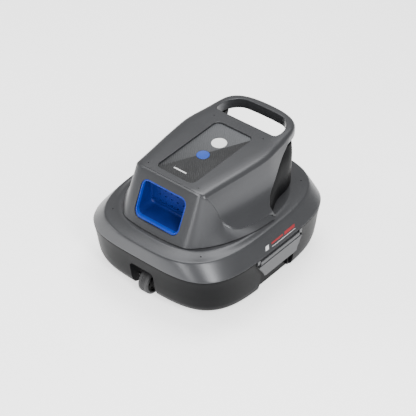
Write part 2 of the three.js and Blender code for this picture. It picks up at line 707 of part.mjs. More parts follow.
// ---------------------------------------------------------------- wheels and gears
function guideHub() {
  const half = guideWheelWidth / 2;
  const r = guideRadius - guideTread;
  const bore = guideAxleRadius + runClearance;
  return turned([
    [-half + 0.5, bore], [-half + 0.5, 6], [-half + 3, 8], [-half + 3, r - 3], [-half, r], [half, r],
    [half - 3, r - 3], [half - 3, 8], [half - 0.5, 6], [half - 0.5, bore], [-half + 0.5, bore],
  ], [0, 0, 0], 16);
}

function tyre(outer, inner, half) {
  return turned([
    [-half, inner], [-half, outer - 2], [-half + 2, outer], [half - 2, outer], [half, outer - 2],
    [half, inner], [-half, inner],
  ], [0, 0, 0], 24);
}

function driveHub() {
  const half = driveWheelWidth / 2;
  const r = driveRadius - driveTread;
  const bore = driveAxleRadius + gap;
  return turned([
    [-half, bore], [-half, r], [half, r], [half, r - 3], [half - 4, r - 5], [half - 4, 10],
    [half, 8], [half, bore], [-half, bore],
  ], [0, 0, 0], 20);
}

// A spur gear about X: stub teeth with a little play at the pitch line.
function gear(teeth, phase, bore) {
  const pitch = (gearModule * teeth) / 2;
  const tip = pitch + 0.8 * gearModule;
  const root = pitch - 1.05 * gearModule;
  const step = (2 * Math.PI) / teeth;
  const points = [];
  for (let i = 0; i < teeth; i++) {
    for (const [share, r] of [[-0.27, root], [-0.1, tip], [0.1, tip], [0.27, root]]) {
      const a = phase + (i + share) * step;
      points.push(new THREE.Vector2(r * Math.cos(a), r * Math.sin(a)));
    }
  }
  const shape = new THREE.Shape(points);
  if (bore) shape.holes.push(new THREE.Path().absarc(0, 0, bore, 0, 2 * Math.PI, true));
  return slabAlongX([], 0, gearWidth, shape, 6);
}

// ---------------------------------------------------------------- sealed case and pump
const ductRearFace = ductBack + wall;
const shroudFront = ductRearFace + 0.5;
const shroudLength = impellerWidth + 6;
const caseFront = -halfY + caseFrontInset;
const caseRear = halfY - caseRearInset;
const caseHalfX = coverX(caseFront, caseTop) - coverWall - caseSideClearance + 1;
const lidTop = caseTop + gap + lidThickness;

function caseShape(inset) {
  const x = caseHalfX - inset;
  return roundedShape(-x, x, caseFront + inset, caseRear - inset, 12 - inset);
}

function powerCase() {
  const inside = slab(caseShape(wall), caseBottom + wall, caseTop + 5, 3);
  const tub = cut(slab(caseShape(0), caseBottom, caseTop, 3), inside);
  const lugs = [];
  for (const side of [-1, 1]) {
    for (const y of [caseFront + 26, caseRear - 40]) {
      const reach = domeHalfX - 47 + 8;
      const [x0, x1] = side > 0 ? [caseHalfX - 1, reach] : [-reach, -caseHalfX + 1];
      lugs.push(box(x0, x1, y - 8, y + 8, footHeight, footHeight + 4));
    }
  }
  const flange = slab(caseShape(-2), caseTop - 2, caseTop, 3);
  const rim = cut(flange, slab(caseShape(0.5), caseTop - 3, caseTop + 1, 3));
  const seat = rod("y", 8 + gap, caseFront - 2, caseFront + wall + 1, [0, pumpHeight]);
  const foot = box(-16, 16, caseFront + wall, caseFront + wall + pumpMotorLength, caseBottom + 1,
    pumpHeight - pumpMotorRadius - gap);
  return cut(join(tub, ...lugs, rim, foot), seat);
}

function caseLid() {
  const plate = slab(caseShape(-2), caseTop + 1.2 + gap, lidTop + 1.2, 3);
  const boss = rod("z", 9, lidTop, lidTop + 3, [0, buttonPlace], 16);
  const holes = lidScrewPlaces().map((place) => rod("z", screwRadius + gap, caseTop, lidTop + 9, place, 8));
  return cut(join(plate, boss), ...holes);
}

function lidScrewPlaces() {
  const x = caseHalfX - 7;
  return [[-x, caseFront + 7], [x, caseFront + 7], [-x, caseRear - 7], [x, caseRear - 7]];
}

function battery(side) {
  const inner = caseHalfX - wall - 2;
  const cells = Math.max(1, Math.floor((inner - 2) / cellDiameter));
  const r = cellDiameter / 2;
  const x0 = side > 0 ? 2 : -2 - cells * cellDiameter;
  const z = caseBottom + wall + 1 + r;
  const shape = roundedShape(x0, x0 + cells * cellDiameter, z - r, z + r, r);
  return slabAlongY(shape, caseRear - wall - 2 - cellLength, caseRear - wall - 2, 4);
}

function controlBoard() {
  const half = caseHalfX - 14;
  const z = caseTop - 14;
  const y0 = caseRear - cellLength - 8;
  const y1 = caseRear - 16;
  const board = box(-half, half, y0, y1, z, z + 1.6);
  const chip = box(-12, 12, y0 + 12, y0 + 36, z + 1, z + 4);
  const choke = rod("z", 8, z + 1, z + 9, [26, y0 + 24], 12);
  const relay = box(-40, -24, y0 + 10, y0 + 30, z + 1, z + 8);
  return join(board, chip, choke, relay);
}

function impeller() {
  const y0 = shroudFront + 3;
  const y1 = y0 + impellerWidth;
  let body = rod("y", 9, y0, y1, [0, 0], 16);
  const blades = 5;
  for (let i = 0; i < blades; i++) {
    const g = new THREE.BoxGeometry(impellerRadius - 7, 1.8, impellerWidth * 1.15);
    g.translate((impellerRadius + 6.4) / 2, 0, 0);
    g.rotateX(Math.PI / 4);
    g.rotateX(Math.PI / 2);
    g.rotateY((2 * Math.PI * i) / blades);
    g.translate(0, (y0 + y1) / 2, 0);
    body = join(body, solid(g));
  }
  return cut(body, rod("y", pumpShaftRadius + gap, y0 - 9, y1 + 9, [0, 0], 12));
}

function impellerShroud() {
  const inner = impellerRadius + 1.2;
  return cut(
    rod("y", inner + 3, shroudFront, shroudFront + shroudLength, [0, pumpHeight], 28),
    rod("y", inner, shroudFront - 1, shroudFront + shroudLength + 1, [0, pumpHeight], 28),
  );
}

const shaftFront = shroudFront + 1;
const motorFront = caseFront + wall + 2;

function pumpMotor() {
  const can = rod("y", pumpMotorRadius, motorFront, motorFront + pumpMotorLength - 4, [0, pumpHeight], 24);
  const bore = pumpShaftRadius + runClearance;
  return cut(can, rod("y", bore, motorFront - 1, motorFront + 12, [0, pumpHeight], 12));
}

// ---------------------------------------------------------------- basket
function basketShape(inset) {
  const x = basketHalfX - inset;
  return roundedShape(-x, x, basketFront + inset, basketRear - inset, basketRadius - inset);
}

function filterBasket() {
  const bottom = floorTop + gap;
  const hollow = slab(basketShape(basketWall), bottom + basketWall, basketTop + 5, 3);
  let tub = cut(slab(basketShape(0), bottom, basketTop, 3), hollow);
  const windows = [];
  const count = 4;
  const pitch = (2 * basketHalfX - 40) / count;
  for (let i = 0; i < count; i++) {
    const x = -basketHalfX + 20 + pitch * i;
    windows.push(box(x + 3, x + pitch - 3, basketFront - 5, basketRear + 5, bottom + 16, basketTop - 10));
  }
  tub = cut(tub, ...windows, ...intakeMouths(0, bottom - 5, bottom + basketWall + 1));
  for (const [y, z] of flapHinges()) {
    for (const x of [-intakeHalfWidth - 7, intakeHalfWidth + 4.5]) {
      const ear = box(x, x + 2.5, y - 3, y + 3, bottom + 1, z + 3);
      tub = join(tub, cut(ear, rod("x", 1 + gap, x - 1, x + 4, [y, z], 10)));
    }
  }
  return tub;
}

function flapHinges() {
  const z = floorTop + gap + basketWall + 2.6;
  return [-1, 1].map((side) => [basketMiddle + side * (intakeSpread - intakeLength / 2 - 5), z]);
}

// Flap in its hinge's frame: reach is +1 or -1 along Y.
function intakeFlap(reach) {
  const half = intakeHalfWidth + 3;
  const barrel = rod("x", 2.1, -half, half, [0, 0], 12);
  const far = intakeLength + 9;
  const [y0, y1] = reach > 0 ? [0, far] : [-far, 0];
  const plate = box(-half, half, y0, y1, -2.1, -2.1 + flapThickness);
  return cut(join(barrel, plate), rod("x", 1 + runClearance, -half - 1, half + 1, [0, 0], 10));
}

function filterScreen() {
  const z = basketTop + gap;
  const frame = slab(basketShape(0), z, z + 2.4, 3);
  const cuts = [];
  const columns = 4;
  const rows = 3;
  const w = (2 * basketHalfX - 24) / columns;
  const h = (basketRear - basketFront - 24) / rows;
  for (let i = 0; i < columns; i++) {
    for (let j = 0; j < rows; j++) {
      const x = -basketHalfX + 12 + w * i;
      const y = basketFront + 12 + h * j;
      cuts.push(box(x + 2, x + w - 2, y + 2, y + h - 2, z - 1, z + 4));
    }
  }
  return cut(frame, ...cuts);
}

function filterMesh() {
  const inset = basketWall + gap;
  const outside = slab(basketShape(inset), floorTop + 8, basketTop - 2, 3);
  return cut(outside, slab(basketShape(inset + 0.9), floorTop, basketTop, 3));
}

// ---------------------------------------------------------------- top face pieces, in the top face's frame
const panelTop = -panelRecess;
const panelBottom = panelTop - panelThickness;

function panelLens() {
  const grow = panelMargin;
  const half = windowHalfWidth + grow;
  const shape = roundedShape(-half, half, windowFront - grow, windowRear + grow, windowRadius + grow);
  const plate = slab(shape, panelBottom, panelTop, 3);
  const hole = (d, y) => rod("z", d / 2 + gap, panelBottom - 1, panelTop + 1, [0, y], 32);
  return cut(plate, hole(buttonDiameter, buttonPlace), hole(lightDiameter, lightPlace));
}

function powerButton() {
  const cap = rod("z", buttonDiameter / 2, panelTop - 2, panelTop + 0.6, [0, buttonPlace], 32);
  const stem = rod("z", 2.4, panelBottom - 9, panelTop - 1, [0, buttonPlace], 12);
  return join(cap, stem);
}

function buttonSpring() {
  const turns = 4;
  const radius = 5;
  const wire = 0.45;
  const z0 = panelBottom - 9.6;
  const z1 = panelTop - 2 - wire - gap;
  class Helix extends THREE.Curve {
    getPoint(t) {
      const a = 2 * Math.PI * turns * t;
      return new THREE.Vector3(radius * Math.cos(a), buttonPlace + radius * Math.sin(a), z0 + (z1 - z0) * t);
    }
  }
  const section = new THREE.Shape();
  section.absarc(0, 0, wire, 0, 2 * Math.PI);
  return solid(new THREE.ExtrudeGeometry(section, {
    steps: turns * 10, extrudePath: new Helix(), bevelEnabled: false, curveSegments: 2,
  }));
}

// ---------------------------------------------------------------- materials
const finish = (color, roughness, metalness = 0) =>
  new THREE.MeshStandardMaterial({ color, roughness, metalness });
const shellGrey = finish(0x4a4b4d, 0.38, 0.35);
const darkGrey = finish(0x2a2b2c, 0.55);
const blackPlastic = finish(0x1a1a1b, 0.5);
const blue = finish(0x1840a0, 0.4);
const panelBlack = finish(0x1c1d1f, 0.25);
const white = finish(0xe2e5e2, 0.35);
const rubber = finish(0x161616, 0.85);
const steel = finish(0xb8babd, 0.25, 0.95);
const nylon = finish(0xd8d5c8, 0.6);
const boardGreen = finish(0x1d5a35, 0.5);
const cellWrap = finish(0x2a5f9a, 0.45);
const meshWhite = finish(0xc9ccd0, 0.7);

// ---------------------------------------------------------------- assembly
const cleaner = new THREE.Group();
const raised = new THREE.Group(); // everything, drawn from the datum
raised.position.z = datum;
cleaner.add(raised);

function add(name, body, material, parent = raised) {
  const mesh = new THREE.Mesh(geometryOf(body), material);
  mesh.name = name;
  parent.add(mesh);
  return mesh;
}

function frameAt(x, y, z, rotation = {}, parent = raised) {
  const group = new THREE.Group();
  group.position.set(x, y, z);
  group.rotation.set(rotation.x ?? 0, rotation.y ?? 0, rotation.z ?? 0);
  parent.add(group);
  return group;
}

function addShells() {
  add("base_tray", baseTray(), darkGrey);
  add("deck_housing", deckHousing(), shellGrey);
  add("front_fascia", frontFascia(), shellGrey);
  add("top_cover", topCover(), shellGrey);
  add("rear_panel", rearPanel(), darkGrey);
  add("outlet_duct", outletDuct(), blue);
}

function addTopFace() {
  const top = frameAt(0, 0, topHeight, { x: topAngle });
  add("panel_lens", panelLens(), panelBlack, top);
  const light = rod("z", lightDiameter / 2, panelBottom, panelTop + 0.4, [0, lightPlace], 32);
  add("status_light", light, white, top);
  add("power_button", powerButton(), blue, top);
  add("button_spring", buttonSpring(), steel, top);
}

const latchSlope = -0.045; // lean of the plate away from the tray

function addLatches() {
  for (const [name, side] of [["left", -1], ["right", 1]]) {
    const turn = side > 0 ? { y: latchSlope } : { y: -latchSlope, z: Math.PI };
    add("latch_" + name, latchPlate(), shellGrey, frameAt(side * hinge.x, 0, hinge.z, turn));
    const half = latchTopHalf - 1;
    add("latch_pin_" + name, rod("y", pinRadius, -half, half, [side * hinge.x, hinge.z], 12), steel);
  }
}

function addGuideWheels() {
  for (const [name, end] of [["front", -1], ["rear", 1]]) {
    const centre = frameAt(0, end * guideY, guideZ);
    add(name + "_guide_wheel", guideHub(), darkGrey, centre);
    const rubberRing = tyre(guideRadius, guideRadius - guideTread + gap, guideWheelWidth / 2);
    add(name + "_guide_tyre", rubberRing, rubber, centre);
    const half = notchHalfWidth + wall - 0.5;
    add(name + "_guide_axle", rod("x", guideAxleRadius, -half, half, [0, 0], 16), steel, centre);
  }
}

function addDrive() {
  for (const [name, side] of [["left", -1], ["right", 1]]) {
    const centre = frameAt(side * driveX, driveWheelY, driveZ, side < 0 ? { z: Math.PI } : {});
    add("drive_wheel_" + name, driveHub(), darkGrey, centre);
    const rubberRing = tyre(driveRadius, driveRadius - driveTread + gap, driveWheelWidth / 2);
    add("drive_tyre_" + name, rubberRing, rubber, centre);
    const gearFrame = frameAt(side > 0 ? gearInnerX : -gearOuterX, driveWheelY, driveZ);
    const phase = pinionTilt;
    add("drive_gear_" + name, gear(gearTeeth, phase, driveAxleRadius + gap), nylon, gearFrame);
    const axleIn = bracketX - bracketThickness - 1;
    const axleOut = outerBracketX + bracketThickness + 1;
    const [a0, a1] = side > 0 ? [axleIn, axleOut] : [-axleOut, -axleIn];
    add("drive_axle_" + name, rod("x", driveAxleRadius, a0, a1, [driveWheelY, driveZ], 16), steel);
    const pinionFrame = frameAt(side > 0 ? gearInnerX : -gearOuterX, motorY, motorZ);
    const pinionPhase = pinionTilt + Math.PI + Math.PI / pinionTeeth;
    const shaftLength = gearInnerX - bracketX + bracketThickness + 8;
    const [p0, p1] = side > 0 ? [-shaftLength, 1] : [gearWidth - 1, gearWidth + shaftLength];
    const pinion = join(gear(pinionTeeth, pinionPhase, 0), rod("x", 2, p0, p1, [0, 0], 12));
    add("drive_pinion_" + name, pinion, steel, pinionFrame);
    const m1 = bracketX - bracketThickness - gap;
    const [b0, b1] = side > 0 ? [m1 - motorLength, m1] : [-m1, -m1 + motorLength];
    const can = rod("x", motorRadius, b0, b1, [motorY, motorZ], 24);
    const [c0, c1] = side > 0 ? [b1 - 10, b1 + 1] : [b0 - 1, b0 + 10];
    const bore = rod("x", 2 + runClearance, c0, c1, [motorY, motorZ], 12);
    add("drive_motor_" + name, cut(can, bore), blackPlastic);
  }
}

function addBasket() {
  add("filter_basket", filterBasket(), blackPlastic);
  add("filter_mesh", filterMesh(), meshWhite);
  add("filter_screen", filterScreen(), meshWhite);
  flapHinges().forEach(([y, z], i) => {
    const name = ["front", "rear"][i];
    add("intake_flap_" + name, intakeFlap(i === 0 ? -1 : 1), rubber, frameAt(0, y, z));
    const half = intakeHalfWidth + 8;
    add("flap_pin_" + name, rod("x", 1, -half, half, [y, z], 10), steel);
  });
}

function addPower() {
  add("power_case", powerCase(), blackPlastic);
  add("case_lid", caseLid(), blackPlastic);
  const opening = slab(caseShape(wall - 1), caseTop, caseTop + 2, 3);
  add("case_gasket", cut(slab(caseShape(-1.6), caseTop + gap, caseTop + 1.2, 3), opening), rubber);
  lidScrewPlaces().forEach(([x, y], i) => {
    const head = rod("z", 3, lidTop + 1.2 + gap, lidTop + 3.6, [x, y], 12);
    const shank = rod("z", screwRadius, caseTop + 2, lidTop + 2, [x, y], 10);
    add("lid_screw_" + (i + 1), join(head, shank), steel);
  });
  add("battery_pack_left", battery(-1), cellWrap);
  add("battery_pack_right", battery(1), cellWrap);
  add("control_board", controlBoard(), boardGreen);
  add("pump_motor", pumpMotor(), steel);
  add("pump_shaft", rod("y", pumpShaftRadius, shaftFront, motorFront + 10, [0, pumpHeight], 16), steel);
  add("impeller", impeller(), nylon, frameAt(0, 0, pumpHeight));
  add("impeller_shroud", impellerShroud(), blackPlastic);
  const ring = cut(
    rod("y", 8, caseFront - 1, caseFront + wall, [0, pumpHeight], 24),
    rod("y", pumpShaftRadius + runClearance, caseFront - 3, caseFront + 9, [0, pumpHeight], 16),
  );
  add("shaft_seal", ring, rubber);
}

function addChargePort() {
  const y = rearFace;
  const port = cut(
    rod("y", 9, y - 16, y - 0.6, [0, capHeight], 20),
    rod("y", 6, y - 8, y + 5, [0, capHeight], 16),
  );
  add("charge_port", port, blackPlastic);
  const drop = -capRadius - capHingeRise;
  const hingeFrame = frameAt(0, y + 2.6, capHeight - drop);
  const disc = rod("y", capRadius, -2.2, 0.8, [0, drop], 24);
  const barrel = rod("x", 1.8, -capHingeHalf, capHingeHalf, [0, 0], 12);
  const strap = box(-capHingeHalf, capHingeHalf, -1.2, 0.8, -capHingeRise - 2, 0);
  const plug = rod("y", 5.4, -6, -2, [0, drop], 16);
  const bore = rod("x", 0.8 + runClearance, -9, 9, [0, 0], 10);
  add("charge_cap", cut(join(disc, barrel, strap, plug), bore), rubber, hingeFrame);
  add("charge_cap_pin", rod("x", 0.8, -capHingeHalf - 2, capHingeHalf + 2, [0, 0], 10), steel, hingeFrame);
}

addShells();
addTopFace();
addLatches();
addGuideWheels();
addDrive();
addBasket();
addPower();
addChargePort();

export default cleaner;
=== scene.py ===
"""Cordless pool cleaner, in metres: smooth shells, blue outlet, ribbed control panel, latches and wheels.

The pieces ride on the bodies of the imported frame. Shapes are drawn in millimetres, front towards -Y, +Z up,
and are scaled to metres when each mesh is made.
"""
import logging
import math
from collections.abc import Callable, Sequence
from dataclasses import dataclass, field
from enum import Enum
from functools import cached_property

import bmesh
import bpy
import numpy as np
from mathutils import Euler, Matrix, Vector


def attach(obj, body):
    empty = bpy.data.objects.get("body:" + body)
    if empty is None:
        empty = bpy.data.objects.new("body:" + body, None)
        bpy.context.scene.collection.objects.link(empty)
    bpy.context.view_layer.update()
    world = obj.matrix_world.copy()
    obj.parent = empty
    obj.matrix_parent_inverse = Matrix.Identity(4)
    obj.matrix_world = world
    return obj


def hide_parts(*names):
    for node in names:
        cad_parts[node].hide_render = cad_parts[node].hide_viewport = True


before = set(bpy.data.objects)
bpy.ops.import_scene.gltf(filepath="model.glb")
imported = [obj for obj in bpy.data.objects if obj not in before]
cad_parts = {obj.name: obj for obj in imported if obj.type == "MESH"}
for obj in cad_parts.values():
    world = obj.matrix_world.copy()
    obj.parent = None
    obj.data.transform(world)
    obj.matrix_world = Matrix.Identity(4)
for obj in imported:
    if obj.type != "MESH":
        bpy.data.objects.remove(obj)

LOG = logging.getLogger("pool_cleaner")
MM = 0.001
DATUM = 12.0  # height above the ground from which everything is drawn

Outline = list[tuple[float, float]]
Ring = list[Vector]


class Body(Enum):
    """The moving groups of the frame that new pieces ride on."""

    BASE = "base"
    UPPER = "upper"
    BUTTON = "button"
    LATCH_LEFT = "latch_left"
    LATCH_RIGHT = "latch_right"
    FRONT_GUIDE = "front_guide"
    REAR_GUIDE = "rear_guide"


class Side(Enum):
    """Which side of the cleaner a paired piece is on."""

    LEFT = -1
    RIGHT = 1


# ---------------------------------------------------------------- smooth curves
@dataclass(frozen=True)
class Table:
    """A value looked up by place, smooth between its rows and never beyond them."""

    rows: tuple[tuple[float, float], ...]

    @cached_property
    def slopes(self) -> list[float]:
        """Slope of the curve at each row."""
        x = [r[0] for r in self.rows]
        y = [r[1] for r in self.rows]
        step = [(y[i + 1] - y[i]) / (x[i + 1] - x[i]) for i in range(len(x) - 1)]
        inner = [0.0 if a * b <= 0 else 2 * a * b / (a + b) for a, b in zip(step, step[1:])]
        return [step[0], *inner, step[-1]]

    def at(self, place: float) -> float:
        """The value at a place, held level beyond the ends.

        Args:
            place: Where to look, in the units of the first column.

        Returns:
            The value there.
        """
        rows = self.rows
        if place <= rows[0][0]:
            return rows[0][1]
        if place >= rows[-1][0]:
            return rows[-1][1]
        i = next(k for k in range(len(rows) - 1) if rows[k + 1][0] >= place)
        width = rows[i + 1][0] - rows[i][0]
        t = (place - rows[i][0]) / width
        a, b = rows[i][1], rows[i + 1][1]
        m, n = self.slopes[i] * width, self.slopes[i + 1] * width
        return (
            a * (2 * t**3 - 3 * t**2 + 1) + m * (t**3 - 2 * t**2 + t)
            + b * (3 * t**2 - 2 * t**3) + n * (t**3 - t**2)
        )


@dataclass(frozen=True)
class Track:
    """A smooth path through points that each hold the same number of values."""

    points: tuple[tuple[float, ...], ...]

    def sample(self, count: int) -> np.ndarray:
        """Points evenly spaced along the path.

        Args:
            count: How many points, the two ends among them.

        Returns:
            An array of one row per point.
        """
        p = np.array(self.points, float)
        chord = np.sqrt(np.linalg.norm(np.diff(p, axis=0), axis=1)) ** 1.4
        knot = np.concatenate([[0.0], np.cumsum(chord)])
        slope = np.gradient(p, knot, axis=0)
        dense: list[np.ndarray] = []
        for i in range(len(p) - 1):
            w = knot[i + 1] - knot[i]
            for t in np.linspace(0, 1, 24, endpoint=False):
                dense.append(
                    p[i] * (2 * t**3 - 3 * t**2 + 1) + slope[i] * w * (t**3 - 2 * t**2 + t)
                    + p[i + 1] * (3 * t**2 - 2 * t**3) + slope[i + 1] * w * (t**3 - t**2)
                )
        dense.append(p[-1])
        line = np.array(dense)
        run = np.concatenate([[0.0], np.cumsum(np.linalg.norm(np.diff(line, axis=0), axis=1))])
        places = np.linspace(0, run[-1], count)
        return np.array([[np.interp(s, run, line[:, k]) for k in range(line.shape[1])] for s in places])


def plan_ring(a: float, b: float, power: float, z: float, middle: float = 0.0, count: int = 192) -> Ring:
    """A rounded square in plan, counter-clockwise from its front middle.

    Args:
        a: Half width.
        b: Half length.
        power: Squareness, 2 for an ellipse.
        z: Height.
        middle: Centre along Y.
        count: Number of points.

    Returns:
        The ring's points.
    """
    ring = []
    for i in range(count):
        t = 2 * math.pi * i / count - math.pi / 2
        c, s = math.cos(t), math.sin(t)
        x = a * math.copysign(abs(c) ** (2 / power), c)
        y = middle + b * math.copysign(abs(s) ** (2 / power), s)
        ring.append(Vector((x, y, z)))
    return ring


def rounded_rect(x0: float, x1: float, y0: float, y1: float, radius: float, steps: int = 10) -> Outline:
    """A rectangle with round corners, counter-clockwise.

    Args:
        x0: Lowest first coordinate.
        x1: Highest first coordinate.
        y0: Lowest second coordinate.
        y1: Highest second coordinate.
        radius: Corner radius.
        steps: Straight pieces in each corner.

    Returns:
        The outline's points.
    """
    corners = (
        (x1 - radius, y0 + radius, -90.0), (x1 - radius, y1 - radius, 0.0),
        (x0 + radius, y1 - radius, 90.0), (x0 + radius, y0 + radius, 180.0),
    )
    points = []
    for cx, cy, start in corners:
        for k in range(steps + 1):
            a = math.radians(start + 90.0 * k / steps)
            points.append((cx + radius * math.cos(a), cy + radius * math.sin(a)))
    return points


def grown(outline: Outline, reach: float) -> Outline:
    """A closed counter-clockwise outline moved outwards along its normals."""
    p = np.array(outline, float)
    along = np.roll(p, -1, axis=0) - np.roll(p, 1, axis=0)
    normal = np.stack([along[:, 1], -along[:, 0]], axis=1)
    normal /= np.linalg.norm(normal, axis=1, keepdims=True)
    return [tuple(q) for q in p + normal * reach]


def bezier(start: tuple[float, float], a: tuple[float, float], b: tuple[float, float],
           end: tuple[float, float], count: int) -> Outline:
    """Points of a cubic curve, its end left out."""
    out = []
    for k in range(count):
        t = k / count
        w = ((1 - t) ** 3, 3 * t * (1 - t) ** 2, 3 * t * t * (1 - t), t**3)
        out.append(tuple(sum(f * q[i] for f, q in zip(w, (start, a, b, end))) for i in (0, 1)))
    return out


# ---------------------------------------------------------------- meshes
@dataclass
class Solid:
    """Points in millimetres and faces that close one or more bodies."""

    points: list[Vector] = field(default_factory=list)
    faces: list[list[int]] = field(default_factory=list)

    def add(self, points: Sequence[Vector], faces: Sequence[Sequence[int]]) -> "Solid":
        """Adds points, and faces that count from the first of them."""
        base = len(self.points)
        self.points.extend(Vector(p) for p in points)
        self.faces.extend([base + i for i in f] for f in faces)
        return self

    def take(self, other: "Solid") -> "Solid":
        """Adds the bodies of another solid."""
        return self.add(other.points, other.faces)

    def moved(self, change: Callable[[Vector], Vector]) -> "Solid":
        """A copy with every point changed."""
        return Solid([change(p) for p in self.points], [list(f) for f in self.faces])

    def mirrored(self) -> "Solid":
        """A copy on the other side of the middle plane."""
        return Solid([Vector((-p.x, p.y, p.z)) for p in self.points], [list(reversed(f)) for f in self.faces])

    def joined(self, *others: "Solid") -> "Solid":
        """A solid that holds this one's faces and those of others."""
        out = Solid([Vector(p) for p in self.points], [list(f) for f in self.faces])
        for other in others:
            out.take(other)
        return out

    def object(self, name: str) -> bpy.types.Object:
        """A new scene object in metres, its faces turned outwards."""
        mesh = bpy.data.meshes.new(name)
        mesh.from_pydata([tuple(p * MM) for p in self.points], [], self.faces)
        work = bmesh.new()
        work.from_mesh(mesh)
        bmesh.ops.remove_doubles(work, verts=work.verts, dist=2e-6)
        bmesh.ops.recalc_face_normals(work, faces=work.faces)
        work.to_mesh(mesh)
        work.free()
        obj = bpy.data.objects.new(name, mesh)
        bpy.context.scene.collection.objects.link(obj)
        return obj


def loft(rings: Sequence[Ring], ring: bool = False, cap: bool = True) -> Solid:
    """Rings of equally many points joined one to the next.

    Args:
        rings: The rings, in order.
        ring: Join the last ring back to the first.
        cap: Close the two ends with a face each.

    Returns:
        The solid.
    """
    count = len(rings[0])
    faces = []
    last = len(rings) if ring else len(rings) - 1
    for i in range(last):
        j = (i + 1) % len(rings)
        for k in range(count):
            m = (k + 1) % count
            faces.append([i * count + k, i * count + m, j * count + m, j * count + k])
    if cap and not ring:
        faces.append(list(range(count))[::-1])
        faces.append([(len(rings) - 1) * count + k for k in range(count)])
    return Solid().add([p for r in rings for p in r], faces)


def block(x0: float, x1: float, y0: float, y1: float, z0: float, z1: float) -> Solid:
    """A six-sided tool or web, for joining to or cutting from a shell."""
    low = [Vector((x0, y0, z0)), Vector((x1, y0, z0)), Vector((x1, y1, z0)), Vector((x0, y1, z0))]
    return loft([low, [Vector((p.x, p.y, z1)) for p in low]])


def prism(outline: Outline, start: float, end: float, axis: str = "z") -> Solid:
    """An outline pushed along an axis; it is drawn in the other two coordinates, in order."""
    place = {
        "x": lambda u, v, w: Vector((w, u, v)),
        "y": lambda u, v, w: Vector((u, w, v)),
        "z": lambda u, v, w: Vector((u, v, w)),
    }[axis]
    return loft([[place(u, v, w) for u, v in outline] for w in (start, end)])


def turned(profile: Outline, centre: tuple[float, float, float], axis: str = "x", count: int = 64) -> Solid:
    """A closed profile of (along, radius) points spun about an axis through a centre."""
    rings = []
    for k in range(count):
        a = 2 * math.pi * k / count
        ring = []
        for t, r in profile:
            u, v = r * math.cos(a), r * math.sin(a)
            p = {"x": (t, u, v), "y": (u, t, v), "z": (u, v, t)}[axis]
            ring.append(Vector(p) + Vector(centre))
        rings.append(ring)
    return loft(rings, ring=True)


def drum(radius: float, start: float, end: float, centre: tuple[float, float, float], axis: str = "z",
         soft: float = 0.5, count: int = 48) -> Solid:
    """A round boss or tool whose two rims are softened."""
    rings = []
    levels = [(start, radius - soft), (start + soft * 0.3, radius - soft * 0.3), (start + soft, radius),
              (end - soft, radius), (end - soft * 0.3, radius - soft * 0.3), (end, radius - soft)]
    for t, r in levels:
        ring = []
        for k in range(count):
            a = 2 * math.pi * k / count
            u, v = r * math.cos(a), r * math.sin(a)
            p = {"x": (t, u, v), "y": (u, t, v), "z": (u, v, t)}[axis]
            ring.append(Vector(p) + Vector(centre))
        rings.append(ring)
    return loft(rings)


def sheet(grid: Sequence[Ring], thickness: float, bulge: float) -> Solid:
    """A grid of points given a thickness inwards and a soft rim all round.

    Args:
        grid: Rows of points, the outside to the right of a row seen from its start.
        thickness: Wall thickness.
        bulge: How far the rounded rim stands out beyond the grid's edge.

    Returns:
        The closed sheet.
    """
    p = np.array([[tuple(q) for q in row] for row in grid])
    rows, cols = p.shape[:2]
    along = np.gradient(p, axis=1)
    across = np.gradient(p, axis=0)
    normal = np.cross(along, across)
    normal /= np.maximum(np.linalg.norm(normal, axis=2, keepdims=True), 1e-9)
    inner = p - normal * thickness
    solid = Solid()

    def at(i: int, j: int, side: int) -> int:
        """Number of a grid point on the outside, 0, or the inside, 1."""
        return side * rows * cols + i * cols + j

    faces = []
    for i in range(rows - 1):
        for j in range(cols - 1):
            faces.append([at(i, j, 0), at(i, j + 1, 0), at(i + 1, j + 1, 0), at(i + 1, j, 0)])
            faces.append([at(i, j, 1), at(i + 1, j, 1), at(i + 1, j + 1, 1), at(i, j + 1, 1)])
    edge = [(0, j) for j in range(cols)] + [(i, cols - 1) for i in range(1, rows)]
    edge += [(rows - 1, j) for j in range(cols - 2, -1, -1)] + [(i, 0) for i in range(rows - 2, 0, -1)]
    points = [Vector(q) for q in p.reshape(-1, 3)] + [Vector(q) for q in inner.reshape(-1, 3)]
    steps = 6
    arcs = []
    for i, j in edge:
        out = Vector((0.0, 0.0, 0.0))
        if i in (0, rows - 1):
            out += Vector(p[i, j] - p[1 if i == 0 else rows - 2, j]).normalized()
        if j in (0, cols - 1):
            out += Vector(p[i, j] - p[i, 1 if j == 0 else cols - 2]).normalized()
        out.normalize()
        mid = Vector((p[i, j] + inner[i, j]) / 2)
        half = Vector((p[i, j] - inner[i, j]) / 2)
        arc = [at(i, j, 0)]
        for k in range(1, steps):
            a = math.pi * k / steps
            c = math.copysign(abs(math.cos(a)) ** 0.55, math.cos(a))
            arc.append(len(points))
            points.append(mid + half * c + out * bulge * math.sin(a) ** 0.6)
        arcs.append([*arc, at(i, j, 1)])
    for a, b in zip(arcs, arcs[1:] + arcs[:1]):
        for k in range(steps):
            faces.append([a[k], a[k + 1], b[k + 1], b[k]])
    return solid.add(points, faces)


def settle(obj: bpy.types.Object) -> bpy.types.Object:
    """Turns an object's modifiers into its own mesh."""
    graph = bpy.context.evaluated_depsgraph_get()
    made = bpy.data.meshes.new_from_object(obj.evaluated_get(graph))
    old = obj.data
    obj.modifiers.clear()
    obj.data = made
    made.name = obj.name
    bpy.data.meshes.remove(old)
    return obj


